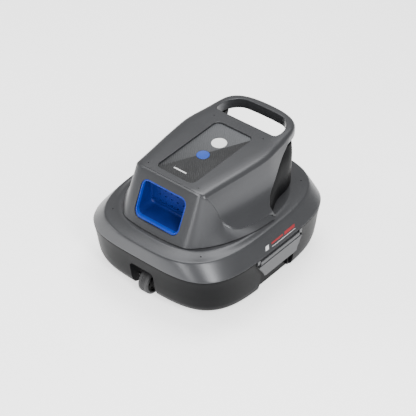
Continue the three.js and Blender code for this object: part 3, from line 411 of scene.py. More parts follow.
def combine(obj: bpy.types.Object, tool: Solid, how: str) -> bpy.types.Object:
    """Joins a tool to an object, cuts it away, or keeps what they share.

    Args:
        obj: The object that changes.
        tool: The other solid.
        how: UNION, DIFFERENCE or INTERSECT.

    Returns:
        The same object.
    """
    other = tool.object("tool")
    change = obj.modifiers.new("combine", "BOOLEAN")
    change.operation = how
    change.solver = "MANIFOLD"
    change.object = other
    settle(obj)
    mesh = other.data
    bpy.data.objects.remove(other)
    bpy.data.meshes.remove(mesh)
    return obj


def read_back(obj: bpy.types.Object) -> Solid:
    """An object's mesh as a solid in millimetres; the object goes."""
    out = Solid().add([v.co / MM for v in obj.data.vertices], [list(f.vertices) for f in obj.data.polygons])
    bpy.data.objects.remove(obj)
    return out


def smooth(obj: bpy.types.Object, degrees: float = 32.0) -> bpy.types.Object:
    """Shades an object smooth, with crisp lines where its faces turn sharply."""
    obj.data.shade_smooth()
    obj.data.set_sharp_from_angle(angle=math.radians(degrees))
    even = obj.modifiers.new("even shading", "WEIGHTED_NORMAL")
    even.keep_sharp = True
    even.weight = 80
    return obj


def softened(obj: bpy.types.Object, width: float) -> bpy.types.Object:
    """Rounds an object's sharp edges by a width in millimetres."""
    bevel = obj.modifiers.new("soft edges", "BEVEL")
    bevel.width = width * MM
    bevel.segments = 3
    bevel.limit_method = "ANGLE"
    bevel.angle_limit = math.radians(40.0)
    bevel.use_clamp_overlap = True
    return settle(obj)


# ---------------------------------------------------------------- finishes
Colour = tuple[float, float, float]


@dataclass(frozen=True)
class Finish:
    """A moulded or painted surface: two close tones, fine grain and slightly uneven gloss."""

    name: str
    slot: str
    tone: Colour
    second: Colour
    roughness: float
    metallic: float = 0.0
    spread: float = 0.06
    grain_mm: float = 0.5
    grain_depth: float = 0.02
    mottle_mm: float = 40.0
    coat: float = 0.0
    specular: float = 0.5
    stretch: tuple[float, float, float] = (1.0, 1.0, 1.0)

    def material(self) -> bpy.types.Material:
        """The finish as a material, made once."""
        known = bpy.data.materials.get(self.name)
        if known:
            return known
        made = bpy.data.materials.new(self.name)
        made.use_nodes = True
        self.lay_out(made.node_tree)
        return made

    def lay_out(self, tree: bpy.types.NodeTree) -> None:
        """Lays out the nodes that colour, roughen and grain the surface."""
        shader = tree.nodes["Principled BSDF"]
        shader.inputs["Metallic"].default_value = self.metallic
        shader.inputs["Specular IOR Level"].default_value = self.specular
        shader.inputs["Coat Weight"].default_value = self.coat
        shader.inputs["Coat Roughness"].default_value = 0.12
        place = tree.nodes.new("ShaderNodeTexCoord")
        fit = tree.nodes.new("ShaderNodeMapping")
        fit.inputs["Scale"].default_value = self.stretch
        tree.links.new(place.outputs["Object"], fit.inputs["Vector"])
        mottle = self.noise(tree, fit, self.mottle_mm, 3.0)
        grain = self.noise(tree, fit, self.grain_mm, 2.0)
        self.colour(tree, fit, mottle, shader)
        gloss = tree.nodes.new("ShaderNodeMapRange")
        gloss.inputs["To Min"].default_value = self.roughness - self.spread
        gloss.inputs["To Max"].default_value = self.roughness + self.spread
        tree.links.new(mottle.outputs["Fac"], gloss.inputs["Value"])
        tree.links.new(gloss.outputs["Result"], shader.inputs["Roughness"])
        bump = tree.nodes.new("ShaderNodeBump")
        bump.inputs["Strength"].default_value = 1.0
        bump.inputs["Distance"].default_value = self.grain_depth * MM
        tree.links.new(grain.outputs["Fac"], bump.inputs["Height"])
        tree.links.new(bump.outputs["Normal"], shader.inputs["Normal"])

    def noise(self, tree: bpy.types.NodeTree, place: bpy.types.Node, size_mm: float,
              detail: float) -> bpy.types.Node:
        """A noise pattern whose blobs are about size_mm across."""
        node = tree.nodes.new("ShaderNodeTexNoise")
        node.inputs["Scale"].default_value = 1.0 / (size_mm * MM)
        node.inputs["Detail"].default_value = detail
        tree.links.new(place.outputs["Vector"], node.inputs["Vector"])
        return node

    def colour(self, tree: bpy.types.NodeTree, place: bpy.types.Node, mottle: bpy.types.Node,
               shader: bpy.types.Node) -> None:
        """Blends the two tones by the mottle."""
        blend = tree.nodes.new("ShaderNodeValToRGB")
        blend.color_ramp.elements[0].position = 0.35
        blend.color_ramp.elements[0].color = (*self.tone, 1.0)
        blend.color_ramp.elements[1].position = 0.65
        blend.color_ramp.elements[1].color = (*self.second, 1.0)
        tree.links.new(mottle.outputs["Fac"], blend.inputs["Fac"])
        tree.links.new(blend.outputs["Color"], shader.inputs["Base Color"])


@dataclass(frozen=True)
class PaintedReflectionFinish(Finish):
    """A painted reflection: a pale triangle laid over the panel's own dark tones, meeting them on a slanting
    line across the panel.
    """

    # painted reflection: far is the pale tone of the reflected triangle
    far: Colour = (0.075, 0.078, 0.083)
    slope: float = 1.994  # rise of the line along Y for each step along X
    middle_mm: float = 7.75  # from the panel's middle to the line, where it crosses the middle plane

    def colour(self, tree: bpy.types.NodeTree, place: bpy.types.Node, mottle: bpy.types.Node,
               shader: bpy.types.Node) -> None:
        """Adds the painted reflection, a pale far triangle which fades towards the front, to the mottle's
        tones.
        """
        Finish.colour(self, tree, place, mottle, shader)
        ramp = shader.inputs["Base Color"].links[0].from_node
        # painted reflection: pale on the far side of a slanting line, fading towards the front
        axes = tree.nodes.new("ShaderNodeSeparateXYZ")
        tree.links.new(place.outputs["Vector"], axes.inputs["Vector"])
        line = self.maths(tree, "MULTIPLY_ADD", axes.outputs["X"], -self.slope, self.middle_mm * MM)
        over = self.maths(tree, "ADD", line, axes.outputs["Y"])
        side = tree.nodes.new("ShaderNodeMapRange")
        side.inputs["From Min"].default_value = -0.0006
        side.inputs["From Max"].default_value = 0.0006
        tree.links.new(over, side.inputs["Value"])
        reflection_fade = tree.nodes.new("ShaderNodeMapRange")
        reflection_fade.inputs["From Min"].default_value = -0.09
        reflection_fade.inputs["From Max"].default_value = 0.08
        reflection_fade.inputs["To Min"].default_value = 0.15
        tree.links.new(axes.outputs["Y"], reflection_fade.inputs["Value"])
        reflection_mask = self.maths(tree, "MULTIPLY", side.outputs["Result"], reflection_fade.outputs["Result"])
        mix = tree.nodes.new("ShaderNodeMixRGB")
        mix.inputs["Color2"].default_value = (*self.far, 1.0)
        tree.links.new(reflection_mask, mix.inputs["Fac"])
        tree.links.new(ramp.outputs["Color"], mix.inputs["Color1"])
        tree.links.new(mix.outputs["Color"], shader.inputs["Base Color"])

    def maths(self, tree: bpy.types.NodeTree, how: str, a: object, b: object,
              c: float = 0.0) -> bpy.types.NodeSocket:
        """One sum; a and b are numbers or sockets."""
        node = tree.nodes.new("ShaderNodeMath")
        node.operation = how
        for socket, value in zip(node.inputs, (a, b, c)):
            if isinstance(value, (int, float)):
                socket.default_value = value
            else:
                tree.links.new(value, socket)
        return node.outputs["Value"]


@dataclass(frozen=True)
class WovenFinish(Finish):
    """A mesh cloth: threads crossing at a small pitch."""

    pitch_mm: float = 1.2

    def colour(self, tree: bpy.types.NodeTree, place: bpy.types.Node, mottle: bpy.types.Node,
               shader: bpy.types.Node) -> None:
        """Darkens the gaps between threads."""
        Finish.colour(self, tree, place, mottle, shader)
        ramp = shader.inputs["Base Color"].links[0].from_node
        threads = []
        for direction in ("X", "Y"):
            wave = tree.nodes.new("ShaderNodeTexWave")
            wave.bands_direction = direction
            wave.inputs["Scale"].default_value = 0.314 / (self.pitch_mm * MM)
            tree.links.new(place.outputs["Vector"], wave.inputs["Vector"])
            threads.append(wave.outputs["Fac"])
        most = tree.nodes.new("ShaderNodeMath")
        most.operation = "MAXIMUM"
        tree.links.new(threads[0], most.inputs[0])
        tree.links.new(threads[1], most.inputs[1])
        mix = tree.nodes.new("ShaderNodeMixRGB")
        mix.blend_type = "MULTIPLY"
        mix.inputs["Fac"].default_value = 0.8
        tree.links.new(ramp.outputs["Color"], mix.inputs["Color1"])
        tree.links.new(most.outputs["Value"], mix.inputs["Color2"])
        tree.links.new(mix.outputs["Color"], shader.inputs["Base Color"])


SHELL = Finish("satin shell grey", "shell_grey", (0.036, 0.037, 0.04), (0.041, 0.042, 0.045), 0.34,
               metallic=0.5, spread=0.025, grain_mm=0.35, grain_depth=0.005, mottle_mm=90.0)
HULL = Finish("matte hull grey", "base_plastic", (0.003, 0.0031, 0.0035), (0.004, 0.0042, 0.0046), 0.42,
              spread=0.04, grain_mm=0.6, grain_depth=0.02, specular=0.06)
INNER = Finish("black moulding", "black_plastic", (0.012, 0.012, 0.013), (0.018, 0.018, 0.019), 0.48,
               grain_mm=0.7, grain_depth=0.03)
# painted shade: the passage and guard get a darker copy of the rim's blue plastic, for the shade inside the
# outlet
SHADED_OUTLET_BLUE = Finish("outlet blue with painted shade", "blue_plastic", (0.001, 0.009, 0.095), (0.0015, 0.011, 0.11), 0.45,
              grain_mm=0.6, grain_depth=0.01, specular=0.2)
RIM_BLUE = Finish("outlet rim blue", "blue_plastic", (0.002, 0.025, 0.25), (0.003, 0.03, 0.28), 0.34,
                  grain_mm=0.6, grain_depth=0.01, specular=0.25)
KEY_BLUE = Finish("power key blue", "blue_plastic", (0.01, 0.045, 0.27), (0.012, 0.052, 0.3), 0.36,
                  grain_mm=0.4, grain_depth=0.01, specular=0.3)
# the panel's finish paints a studio reflection, a pale far triangle, into its colour
PANEL = PaintedReflectionFinish("ribbed panel with painted reflection", "panel_black", (0.009, 0.0094, 0.01), (0.012, 0.0124, 0.0135), 0.3,
                    grain_mm=0.8, grain_depth=0.004)
LENS = Finish("status lens white", "white_lens", (0.66, 0.68, 0.67), (0.74, 0.76, 0.75), 0.3,
              grain_mm=0.8, grain_depth=0.01, coat=0.3)
RUBBER = Finish("tyre rubber", "tyre_rubber", (0.01, 0.01, 0.011), (0.017, 0.017, 0.018), 0.62,
                grain_mm=0.5, grain_depth=0.06)
SEAL = Finish("seal rubber", "seal_rubber", (0.02, 0.02, 0.021), (0.03, 0.03, 0.031), 0.7,
              grain_mm=0.5, grain_depth=0.05)
STEEL = Finish("drawn steel", "steel", (0.5, 0.51, 0.52), (0.62, 0.63, 0.64), 0.24,
               metallic=1.0, grain_mm=0.8, grain_depth=0.01, mottle_mm=6.0, stretch=(1.0, 6.0, 6.0))
CAN = Finish("motor can zinc", "motor_can", (0.33, 0.33, 0.32), (0.42, 0.42, 0.4), 0.38,
             metallic=0.9, grain_mm=1.2, grain_depth=0.02, mottle_mm=9.0)
NYLON = Finish("nylon moulding", "nylon", (0.62, 0.6, 0.52), (0.7, 0.68, 0.6), 0.5,
               grain_mm=0.8, grain_depth=0.03, mottle_mm=12.0)
BOARD = Finish("board green", "board_green", (0.01, 0.09, 0.03), (0.02, 0.14, 0.05), 0.4,
               grain_mm=0.6, grain_depth=0.02, mottle_mm=4.0)
WRAP = Finish("cell wrap", "cell_wrap", (0.03, 0.12, 0.3), (0.04, 0.15, 0.36), 0.3,
              grain_mm=2.0, grain_depth=0.04, mottle_mm=18.0)
CLOTH = WovenFinish("filter cloth", "screen_mesh", (0.5, 0.52, 0.55), (0.6, 0.62, 0.64), 0.72,
                    grain_mm=0.4, grain_depth=0.05)
RED = Finish("red mark", "red_mark", (0.17, 0.003, 0.006), (0.2, 0.004, 0.008), 0.45,
             grain_mm=0.5, grain_depth=0.006)
SILVER = Finish("pale mark", "pale_mark", (0.5, 0.5, 0.51), (0.58, 0.58, 0.59), 0.42,
                metallic=0.3, grain_mm=0.5, grain_depth=0.006)


def dress(obj: bpy.types.Object, finish: Finish) -> bpy.types.Object:
    """Gives an object one finish."""
    obj.data.materials.clear()
    obj.data.materials.append(finish.material())
    return obj


def place(obj: bpy.types.Object, body: Body, finish: Finish, *nodes: str) -> bpy.types.Object:
    """Raises a piece from the datum, dresses it, puts it on its body and has it stand for frame nodes.

    Args:
        obj: The piece, drawn from the datum.
        body: The body it moves with.
        finish: Its finish.
        nodes: Frame nodes that it stands for.

    Returns:
        The piece.
    """
    obj.data.transform(Matrix.Translation((0.0, 0.0, DATUM * MM)))
    dress(obj, finish)
    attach(obj, body.value)
    if nodes:
        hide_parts(*nodes)
    LOG.info("%s on %s", obj.name, body.value)
    return obj


# ---------------------------------------------------------------- the dome's curves
@dataclass(frozen=True)
class DomeForm:
    """The curves that the cover, the fascia and the rear panel share, in millimetres."""

    top: float = 215.6
    tilt: float = 0.031
    foot: float = 116.5
    shoulder_z: float = 207.0
    front: float = -153.0
    top_front: float = -108.0
    flare_reach: float = 131.0
    shoulder: Table = Table((
        (-110, 80), (-60, 86), (0, 93.5), (50, 97.5), (90, 93), (127, 86.8), (150, 80.5),
    ))
    flare: Table = Table((
        (117, 1.15), (122, 1.1), (127, 1.06), (130, 1.01), (134, 0.92), (140, 0.76), (148, 0.52),
        (158, 0.34), (171, 0.22), (186, 0.13), (198, 0.06), (207, 0.0),
    ))
    rear_edge: Table = Table((
        (117, 27), (125, 23), (135, 21), (142, 28), (150, 40), (158, 53), (170, 69),
        (182, 83), (193, 99), (202, 119), (207, 125),
    ))
    crown: Table = Table((
        (0.0, 8.6), (0.35, 7.4), (1.2, 6.0), (2.4, 4.65), (4.0, 3.4), (6.2, 2.3), (9.0, 1.4), (13.0, 0.75),
        (20.0, 0.2), (28.0, 0.0),
    ))

    def top_at(self, y: float) -> float:
        """Height of the top face at a place along the body."""
        return self.top + self.tilt * y

    def lift(self, y: float, z: float) -> float:
        """How far the tilt of the top face raises the side at a height."""
        return y * self.tilt * min(max((z - self.foot) / (self.shoulder_z - self.foot), 0.0), 1.0)

    def side(self, y: float, z: float, side: int = 1) -> Vector:
        """A point on the cover's outside."""
        s = self.shoulder.at(y)
        return Vector((side * (s + self.flare.at(z) * (self.flare_reach - s)), y, z + self.lift(y, z)))

    def side_normal(self, y: float, z: float) -> Vector:
        """The outward normal of the cover's right side."""
        a = self.side(y + 0.5, z) - self.side(y - 0.5, z)
        b = self.side(y, z + 0.5) - self.side(y, z - 0.5)
        return a.cross(b).normalized()


FORM = DomeForm()


@dataclass
class TopCover:
    """The cover: two flared sides, the flat top with its window and vents, and the handle."""

    wall: float = 3.5
    lip: float = 0.9
    rows: int = 120
    columns: int = 44
    seam: Track = Track((
        (23, 117.4), (20.5, 122), (13, 126.3), (3, 127.9), (-9, 129.1), (-29, 131.2), (-49, 134.3),
        (-63, 138), (-73, 143.2), (-78.5, 149.5), (-81.5, 158), (-84, 171), (-88.5, 186), (-94.5, 198),
        (-99, 207),
    ))
    handle_rear: Track = Track((
        (93.0, 90), (90.0, 108), (87.0, 126), (84.0, 140), (79.5, 152), (71.5, 163), (59.0, 171.5), (43, 177),
        (23, 180), (0, 181),
    ))
    handle_depth: float = 21.0
    window: tuple[float, float, float, float] = (-43.0, 43.0, -93.5, 78.0)
    window_radius: float = 12.0
    slot_front: float = 105.0
    slot_rear: float = 163.5
    slot_half: float = 69.0
    vents: tuple[tuple[float, float], ...] = ((-58, -95), (58, -95), (-57.6, 86), (57.6, 86))
    vent_radius: float = 1.25

    def side_grid(self) -> list[Ring]:
        """The right side as rows from the tail up to the shoulder, each from seam to rear edge."""
        grid = []
        for y0, z in self.seam.sample(self.rows):
            y1 = FORM.rear_edge.at(z)
            grid.append([FORM.side(y0 + (y1 - y0) * k / self.columns, z) for k in range(self.columns + 1)])
        for rise, inset in ((0.5, 0.12), (1.1, 0.42), (1.8, 0.9)):
            y0, y1 = float(self.seam.points[-1][0]), 125.0
            row = []
            for k in range(self.columns + 1):
                y = y0 + (y1 - y0) * k / self.columns
                row.append(Vector((FORM.shoulder.at(y) - inset, y, FORM.shoulder_z + rise + FORM.tilt * y)))
            grid.append(row)
        return grid

    def outline(self, inset: float, drop: float) -> Ring:
        """The top's plan outline at one level of its rounded edge."""
        front = FORM.top_front + (0.25 * inset if inset < 4 else 1.0 + 0.06 * (inset - 4))
        half: Outline = []
        corner = 9.0
        x0 = FORM.shoulder.at(-99) - inset
        for k in range(10):
            half.append((x0 * 0.86 * k / 10, front))
        for k in range(13):
            a = math.pi / 2 * k / 12
            half.append((x0 * 0.86 + x0 * 0.14 * math.sin(a), front + corner * (1 - math.cos(a))))
        y0 = front + corner
        for k in range(1, 60):
            y = y0 + (90 - y0) * k / 60
            half.append((FORM.shoulder.at(y) - inset, y))
        rear = self.handle_rear.sample(60)
        for k, (x, y) in enumerate(rear):
            a = rear[min(k + 1, len(rear) - 1)] - rear[max(k - 1, 0)]
            normal = Vector((a[1], -a[0])).normalized()
            narrow = 1.0 - 0.6 * min(max((y - 95) / 50, 0.0), 1.0)
            if k == len(rear) - 1:
                normal = Vector((0.0, 1.0))
            half.append((x - normal.x * inset * narrow, y - normal.y * inset * narrow))
        full = half + [(-x, y) for x, y in half[-2:0:-1]]
        return [Vector((x, y, FORM.top_at(y) - drop)) for x, y in full]

    def crown_body(self) -> Solid:
        """The closed body of the top face and the handle."""
        deep = self.handle_depth

        def lower(inset: float, share: float) -> Ring:
            """The outline at a share of the way down, deeper along the handle."""
            ring = self.outline(inset, 0.0)
            for p in ring:
                depth = 9.4 + (deep - 9.4) * min(max((p.y - 84) / 14, 0.0), 1.0)
                p.z -= 8.6 + (depth - 8.6) * share
            return ring

        rings = [lower(3.4, 1.0), lower(1.6, 0.97), lower(0.6, 0.87), lower(0.2, 0.6), lower(0.02, 0.2)]
        rings += [self.outline(inset, drop) for inset, drop in FORM.crown.rows]
        return loft(rings)

    def slot_outline(self) -> Outline:
        """The hand slot in plan, counter-clockwise."""
        f, r, h = self.slot_front, self.slot_rear, self.slot_half
        right = [(h - 7, f), (h - 3.2, f + 0.5), (h - 0.2, f + 2.2), (h + 1.4, f + 4.6)]
        right += bezier((h + 2, f + 7), (76, f + 26), (62, r - 4), (40, r - 1.5), 26)
        right += bezier((40, r - 1.5), (28, r - 0.3), (12, r), (0, r), 12)
        start = [(x, f) for x in np.linspace(0, h - 9, 10)]
        half = start + right
        return half + [(0.0, r)] + [(-x, y) for x, y in half[:0:-1]]

    def tool(self, outline: Outline, top: float, bottom: float | None) -> Solid:
        """A cutter that follows the top face and rounds the edges that it leaves."""
        rings = []
        if bottom is None:
            levels = [(0.0, -30.0)]
        else:
            levels = [(4.0, -bottom - 6), (1.2, -bottom - 0.2), (0.4, -bottom + 0.7), (0.0, -bottom + 1.6)]
        levels += [
            (0.0, -top), (top * 0.12, -top * 0.5), (top * 0.42, -top * 0.14), (top, 0.02), (top + 3, 3.0),
            (top + 3, 12.0),
        ]
        for grow, rise in levels:
            rings.append([Vector((x, y, FORM.top_at(y) + rise)) for x, y in grown(outline, grow)])
        return loft(rings)

    def build(self) -> None:
        """Makes the cover's sides and its top."""
        right = sheet(self.side_grid(), self.wall, self.lip)
        sides = right.joined(right.mirrored()).object("cover_sides")
        smooth(sides, 60)
        place(sides, Body.UPPER, SHELL)
        top = self.crown_body().object("cover_top_and_handle")
        combine(top, self.tool(self.slot_outline(), 1.4, self.handle_depth), "DIFFERENCE")
        x0, x1, y0, y1 = self.window
        combine(top, self.tool(rounded_rect(x0, x1, y0, y1, self.window_radius), 0.9, None), "DIFFERENCE")
        holes = Solid()
        for x, y in self.vents:
            z = FORM.top_at(y)
            holes.take(drum(self.vent_radius, z - 6, z + 3, (x, y, 0), soft=0.1, count=20))
        combine(top, holes, "DIFFERENCE")
        smooth(top, 34)
        place(top, Body.UPPER, SHELL, "top_cover")


@dataclass
class FrontFascia:
    """The front of the dome, ruled from its foot up to the cover's seam."""

    wall: float = 3.0
    under: float = 4.0
    tuck: float = 6.0
    rows: int = 96
    steps: int = 28
    outlet: tuple[float, float, float, float] = (-52.3, 52.3, 129.2, 196.3)
    outlet_radius: float = 14.3
    wing: tuple[tuple[float, float, float, float], ...] = (
        (139, 20, 13, 126.5), (138.5, 12, 3, 127.9), (137, -1, -9, 129.1), (135, -20, -29, 131.2),
        (132, -36, -49, 134.3), (128, -52, -63, 138), (124, -66, -73, 143.2), (120.5, -76, -78.5, 149.5),
        (116, -88, -81.5, 158), (110, -100, -84, 171), (101, -114, -88.5, 186), (93, -125, -94.5, 198),
    )

    def face_y(self, x: float, z: float) -> float:
        """Place along the body of the fascia's outside across the middle of the front."""
        t = (z - FORM.foot) / (FORM.top_at(FORM.top_front) - FORM.foot)
        share = min(abs(x) / (78.4 - 8.4 * t), 1.0)
        return FORM.front + 9 * share**2.4 * (1 - t) + (FORM.top_front - FORM.front) * t

    def ruling(self) -> Track:
        """Foot, upper end and point under the cover, as nine numbers a row, right wing to middle."""
        rows: list[tuple[float, ...]] = []
        for fx, fy, y, z in self.wing:
            end = FORM.side(y, z) - FORM.side_normal(y, z) * self.under
            far = FORM.side(y + self.tuck, z) - FORM.side_normal(y + self.tuck, z) * self.under
            rows.append((fx, fy, FORM.foot + 0.3, *end, *far))
        corner = (
            ((86.5, -131.8), (80.2, -101.5, 204.6), (1.0, -0.25, 0.35)),
            ((80.0, -139.2), (76.4, -106.4, 208.0), (0.45, -0.3, 0.85)),
            ((72.5, -144.6), (69.5, -108.0, 211.2), (0.1, -0.1, 1.0)),
        )
        for (fx, fy), end, normal in corner:
            point = Vector(end) - Vector(normal).normalized() * self.under
            far = point + Vector((-1.5, 5.0, 0.6))
            rows.append((fx, fy, FORM.foot + 0.3, *point, *far))
        for share in (0.72, 0.5, 0.25, 0.0):
            top = Vector((70 * share, FORM.top_front, FORM.top_at(FORM.top_front) - self.under))
            far = top + Vector((0.0, self.tuck, 0.2))
            rows.append((78.4 * share, FORM.front + 9 * share**2.4, FORM.foot + 0.3, *top, *far))
        return Track(tuple(rows))

    def build(self) -> None:
        """Makes the fascia with its outlet opening."""
        half = self.ruling().sample(self.rows)
        flip = np.array([-1, 1, 1] * 3)
        full = [*half, *(r * flip for r in half[-2::-1])]
        grid = []
        for r in full:
            foot, end, far = Vector(r[0:3]), Vector(r[3:6]), Vector(r[6:9])
            row = [foot.lerp(end, k / self.steps) for k in range(self.steps + 1)]
            grid.append([*row, end.lerp(far, 0.5), far])
        grid.reverse()
        shell = sheet(grid, self.wall, 0.4).object("dome_fascia")
        opening = prism(rounded_rect(*self.outlet, self.outlet_radius), -190, -80, "y")
        combine(shell, opening, "DIFFERENCE")
        smooth(shell, 40)
        place(shell, Body.UPPER, SHELL, "front_fascia")


FASCIA = FrontFascia()


@dataclass
class OutletDuct:
    """The blue passage that the water leaves by."""

    half: float = 52.0
    bottom: float = 129.5
    top: float = 196.0
    radius: float = 14.0
    wall: float = 3.0
    back: float = -100.0
    pitch: float = 14.0
    hole_radius: float = 4.0
    middle: float = 160.0

    def ring(self, grow: float, place_y: Callable[[float, float], float]) -> Ring:
        """The passage's outline moved out by grow, each point at its own depth."""
        outline = rounded_rect(-self.half - grow, self.half + grow, self.bottom - grow, self.top + grow,
                               max(self.radius + grow, 1.0), 14)
        return [Vector((x, place_y(x, z), z)) for x, z in outline]

    def build(self) -> None:
        """Makes the rim, the passage and the wall with holes at its back."""

        def face(proud: float) -> Callable[[float, float], float]:
            """Depths that follow the fascia's face, proud of it."""
            return lambda x, z: FASCIA.face_y(x, z) - proud

        def level(y: float) -> Callable[[float, float], float]:
            """One depth all round."""
            return lambda x, z: y

        outer = ((0, -6), (0, 0.1), (-0.25, 0.55), (-0.8, 0.8))
        section = (*outer, (-2.2, 0.8), (-2.8, 0.5), (-3.05, 0), (-3.1, -6))
        rim = loft([self.ring(grow, face(proud)) for grow, proud in section], ring=True).object("outlet_rim")
        smooth(rim, 50)
        place(rim, Body.UPPER, RIM_BLUE)
        tube = loft([
            self.ring(0, face(-6.2)), self.ring(-3.05, face(-6.2)), self.ring(-3.2, level(-116)),
            self.ring(-3.4, level(-104)), self.ring(-4.2, level(-101.2)), self.ring(-6.0, level(self.back)),
            self.ring(-6.0, level(self.back + self.wall)), self.ring(0, level(self.back + self.wall)),
        ], ring=True).object("outlet_passage")
        smooth(tube, 45)
        # painted shade: the passage's blue is darkened for the shade inside the outlet
        place(tube, Body.UPPER, SHADED_OUTLET_BLUE)
        inset = 3.1
        outline = rounded_rect(-self.half + inset, self.half - inset, self.bottom + inset, self.top - inset,
                               self.radius - inset, 12)
        plate = prism(outline, self.back + 0.2, self.back + self.wall - 0.2, "y").object("outlet_guard")
        holes = Solid()
        for row in (-1, 0, 1):
            for column in (-2, -1, 0, 1, 2):
                hole = drum(self.hole_radius * 0.45, self.back - 3, self.back + 6,
                            (column * self.pitch, 0, self.middle + row * self.pitch), "y", 0.05, 20)
                holes.take(hole)
        combine(plate, holes, "DIFFERENCE")
        ridge = block(-self.half + 4, self.half - 4, self.back - 1.6, self.back + 1,
                      self.bottom + 12, self.bottom + 14.5)
        combine(plate, ridge, "UNION")
        softened(plate, 0.5)
        smooth(plate, 40)
        # painted shade: the guard at the back of the outlet takes the darkened blue
        place(plate, Body.UPPER, SHADED_OUTLET_BLUE, "outlet_duct")


# ---------------------------------------------------------------- deck and hull
@dataclass
class Deck:
    """The sloped band and the ledge round the dome."""

    bottom: float = 82.3
    vents: tuple[tuple[float, float], ...] = (
        (-104.6, -143.6), (104.6, -143.6), (-104.6, 143.6), (104.6, 143.6),
    )
    vent_radius: float = 1.35
    hinge: tuple[float, float] = (165.0, 76.7)
    knuckle: float = 4.4
    knuckle_span: tuple[float, float] = (57.0, 64.0)

    def levels(self) -> list[tuple[float, float, float, float, float]]:
        """Height, half width, half length, squareness and centre of each ring, round the section."""
        return [
            (77.3, 163.2, 185.7, 3.88, 0), (82.3, 163.2, 185.7, 3.88, 0), (82.3, 167.4, 189.9, 3.88, 0),
            (82.5, 167.85, 190.35, 3.88, 0), (83.0, 168.0, 190.5, 3.88, 0), (84.0, 167.6, 190.5, 3.87, 0),
            (86.3, 166.0, 190.4, 3.82, 0), (90.3, 163.2, 190.15, 3.7, 0), (96.0, 159.2, 189.8, 3.53, 0),
            (102.0, 155.0, 189.4, 3.34, 0), (107.0, 151.6, 189.0, 3.18, 0), (109.6, 149.7, 188.6, 3.1, 0),
            (110.7, 148.7, 188.0, 3.07, 0), (111.4, 147.6, 187.0, 3.06, 0), (111.8, 146.2, 185.6, 3.05, 0),
            (112.1, 144.6, 180.5, 2.98, -1), (113.1, 142.0, 172.0, 2.88, -3), (114.4, 139.6, 164.0, 2.8, -5),
            (115.4, 137.6, 158.4, 2.74, -7), (116.1, 135.0, 155.3, 2.7, -8), (116.2, 133.0, 153.0, 2.7, -8),
            (116.2, 92, 108, 4.0, -4), (113.2, 92, 108, 4.0, -4), (113.2, 133, 153.5, 2.7, -8),
            (108.3, 143.6, 184.3, 3.07, 0), (84.0, 160.0, 183.0, 3.88, 0), (77.3, 161.2, 183.7, 3.88, 0),
        ]

    def build(self) -> None:
        """Makes the deck with its vents and its round hinge knuckles for the latches."""
        rings = [plan_ring(a, b, p, z, m) for z, a, b, p, m in self.levels()]
        deck = loft(rings, ring=True).object("deck_band")
        holes = Solid()
        for x, y in self.vents:
            holes.take(drum(self.vent_radius, 108, 119, (x, y, 0), soft=0.1, count=20))
        combine(deck, holes, "DIFFERENCE")
        hx, hz = self.hinge
        inner, outer = self.knuckle_span
        for s in (-1, 1):
            x0, x1 = sorted((s * (hx - 6), s * 176.0))
            combine(deck, block(x0, x1, -inner, inner, hz - 9, self.bottom), "DIFFERENCE")
            for end in (-1, 1):
                y0, y1 = sorted((end * inner, end * outer))
                x0, x1 = sorted((s * (hx - self.knuckle + 0.9), s * (hx + self.knuckle)))
                combine(deck, block(x0, x1, y0, y1, hz, self.bottom + 0.7), "UNION")
                combine(deck, drum(self.knuckle, y0, y1, (s * hx, 0, hz), "y", 0.35, 40), "UNION")
            combine(deck, drum(1.6, -outer - 1, outer + 1, (s * hx, 0, hz), "y", 0.05, 24), "DIFFERENCE")
        smooth(deck, 38)
        place(deck, Body.UPPER, SHELL, "deck_housing")


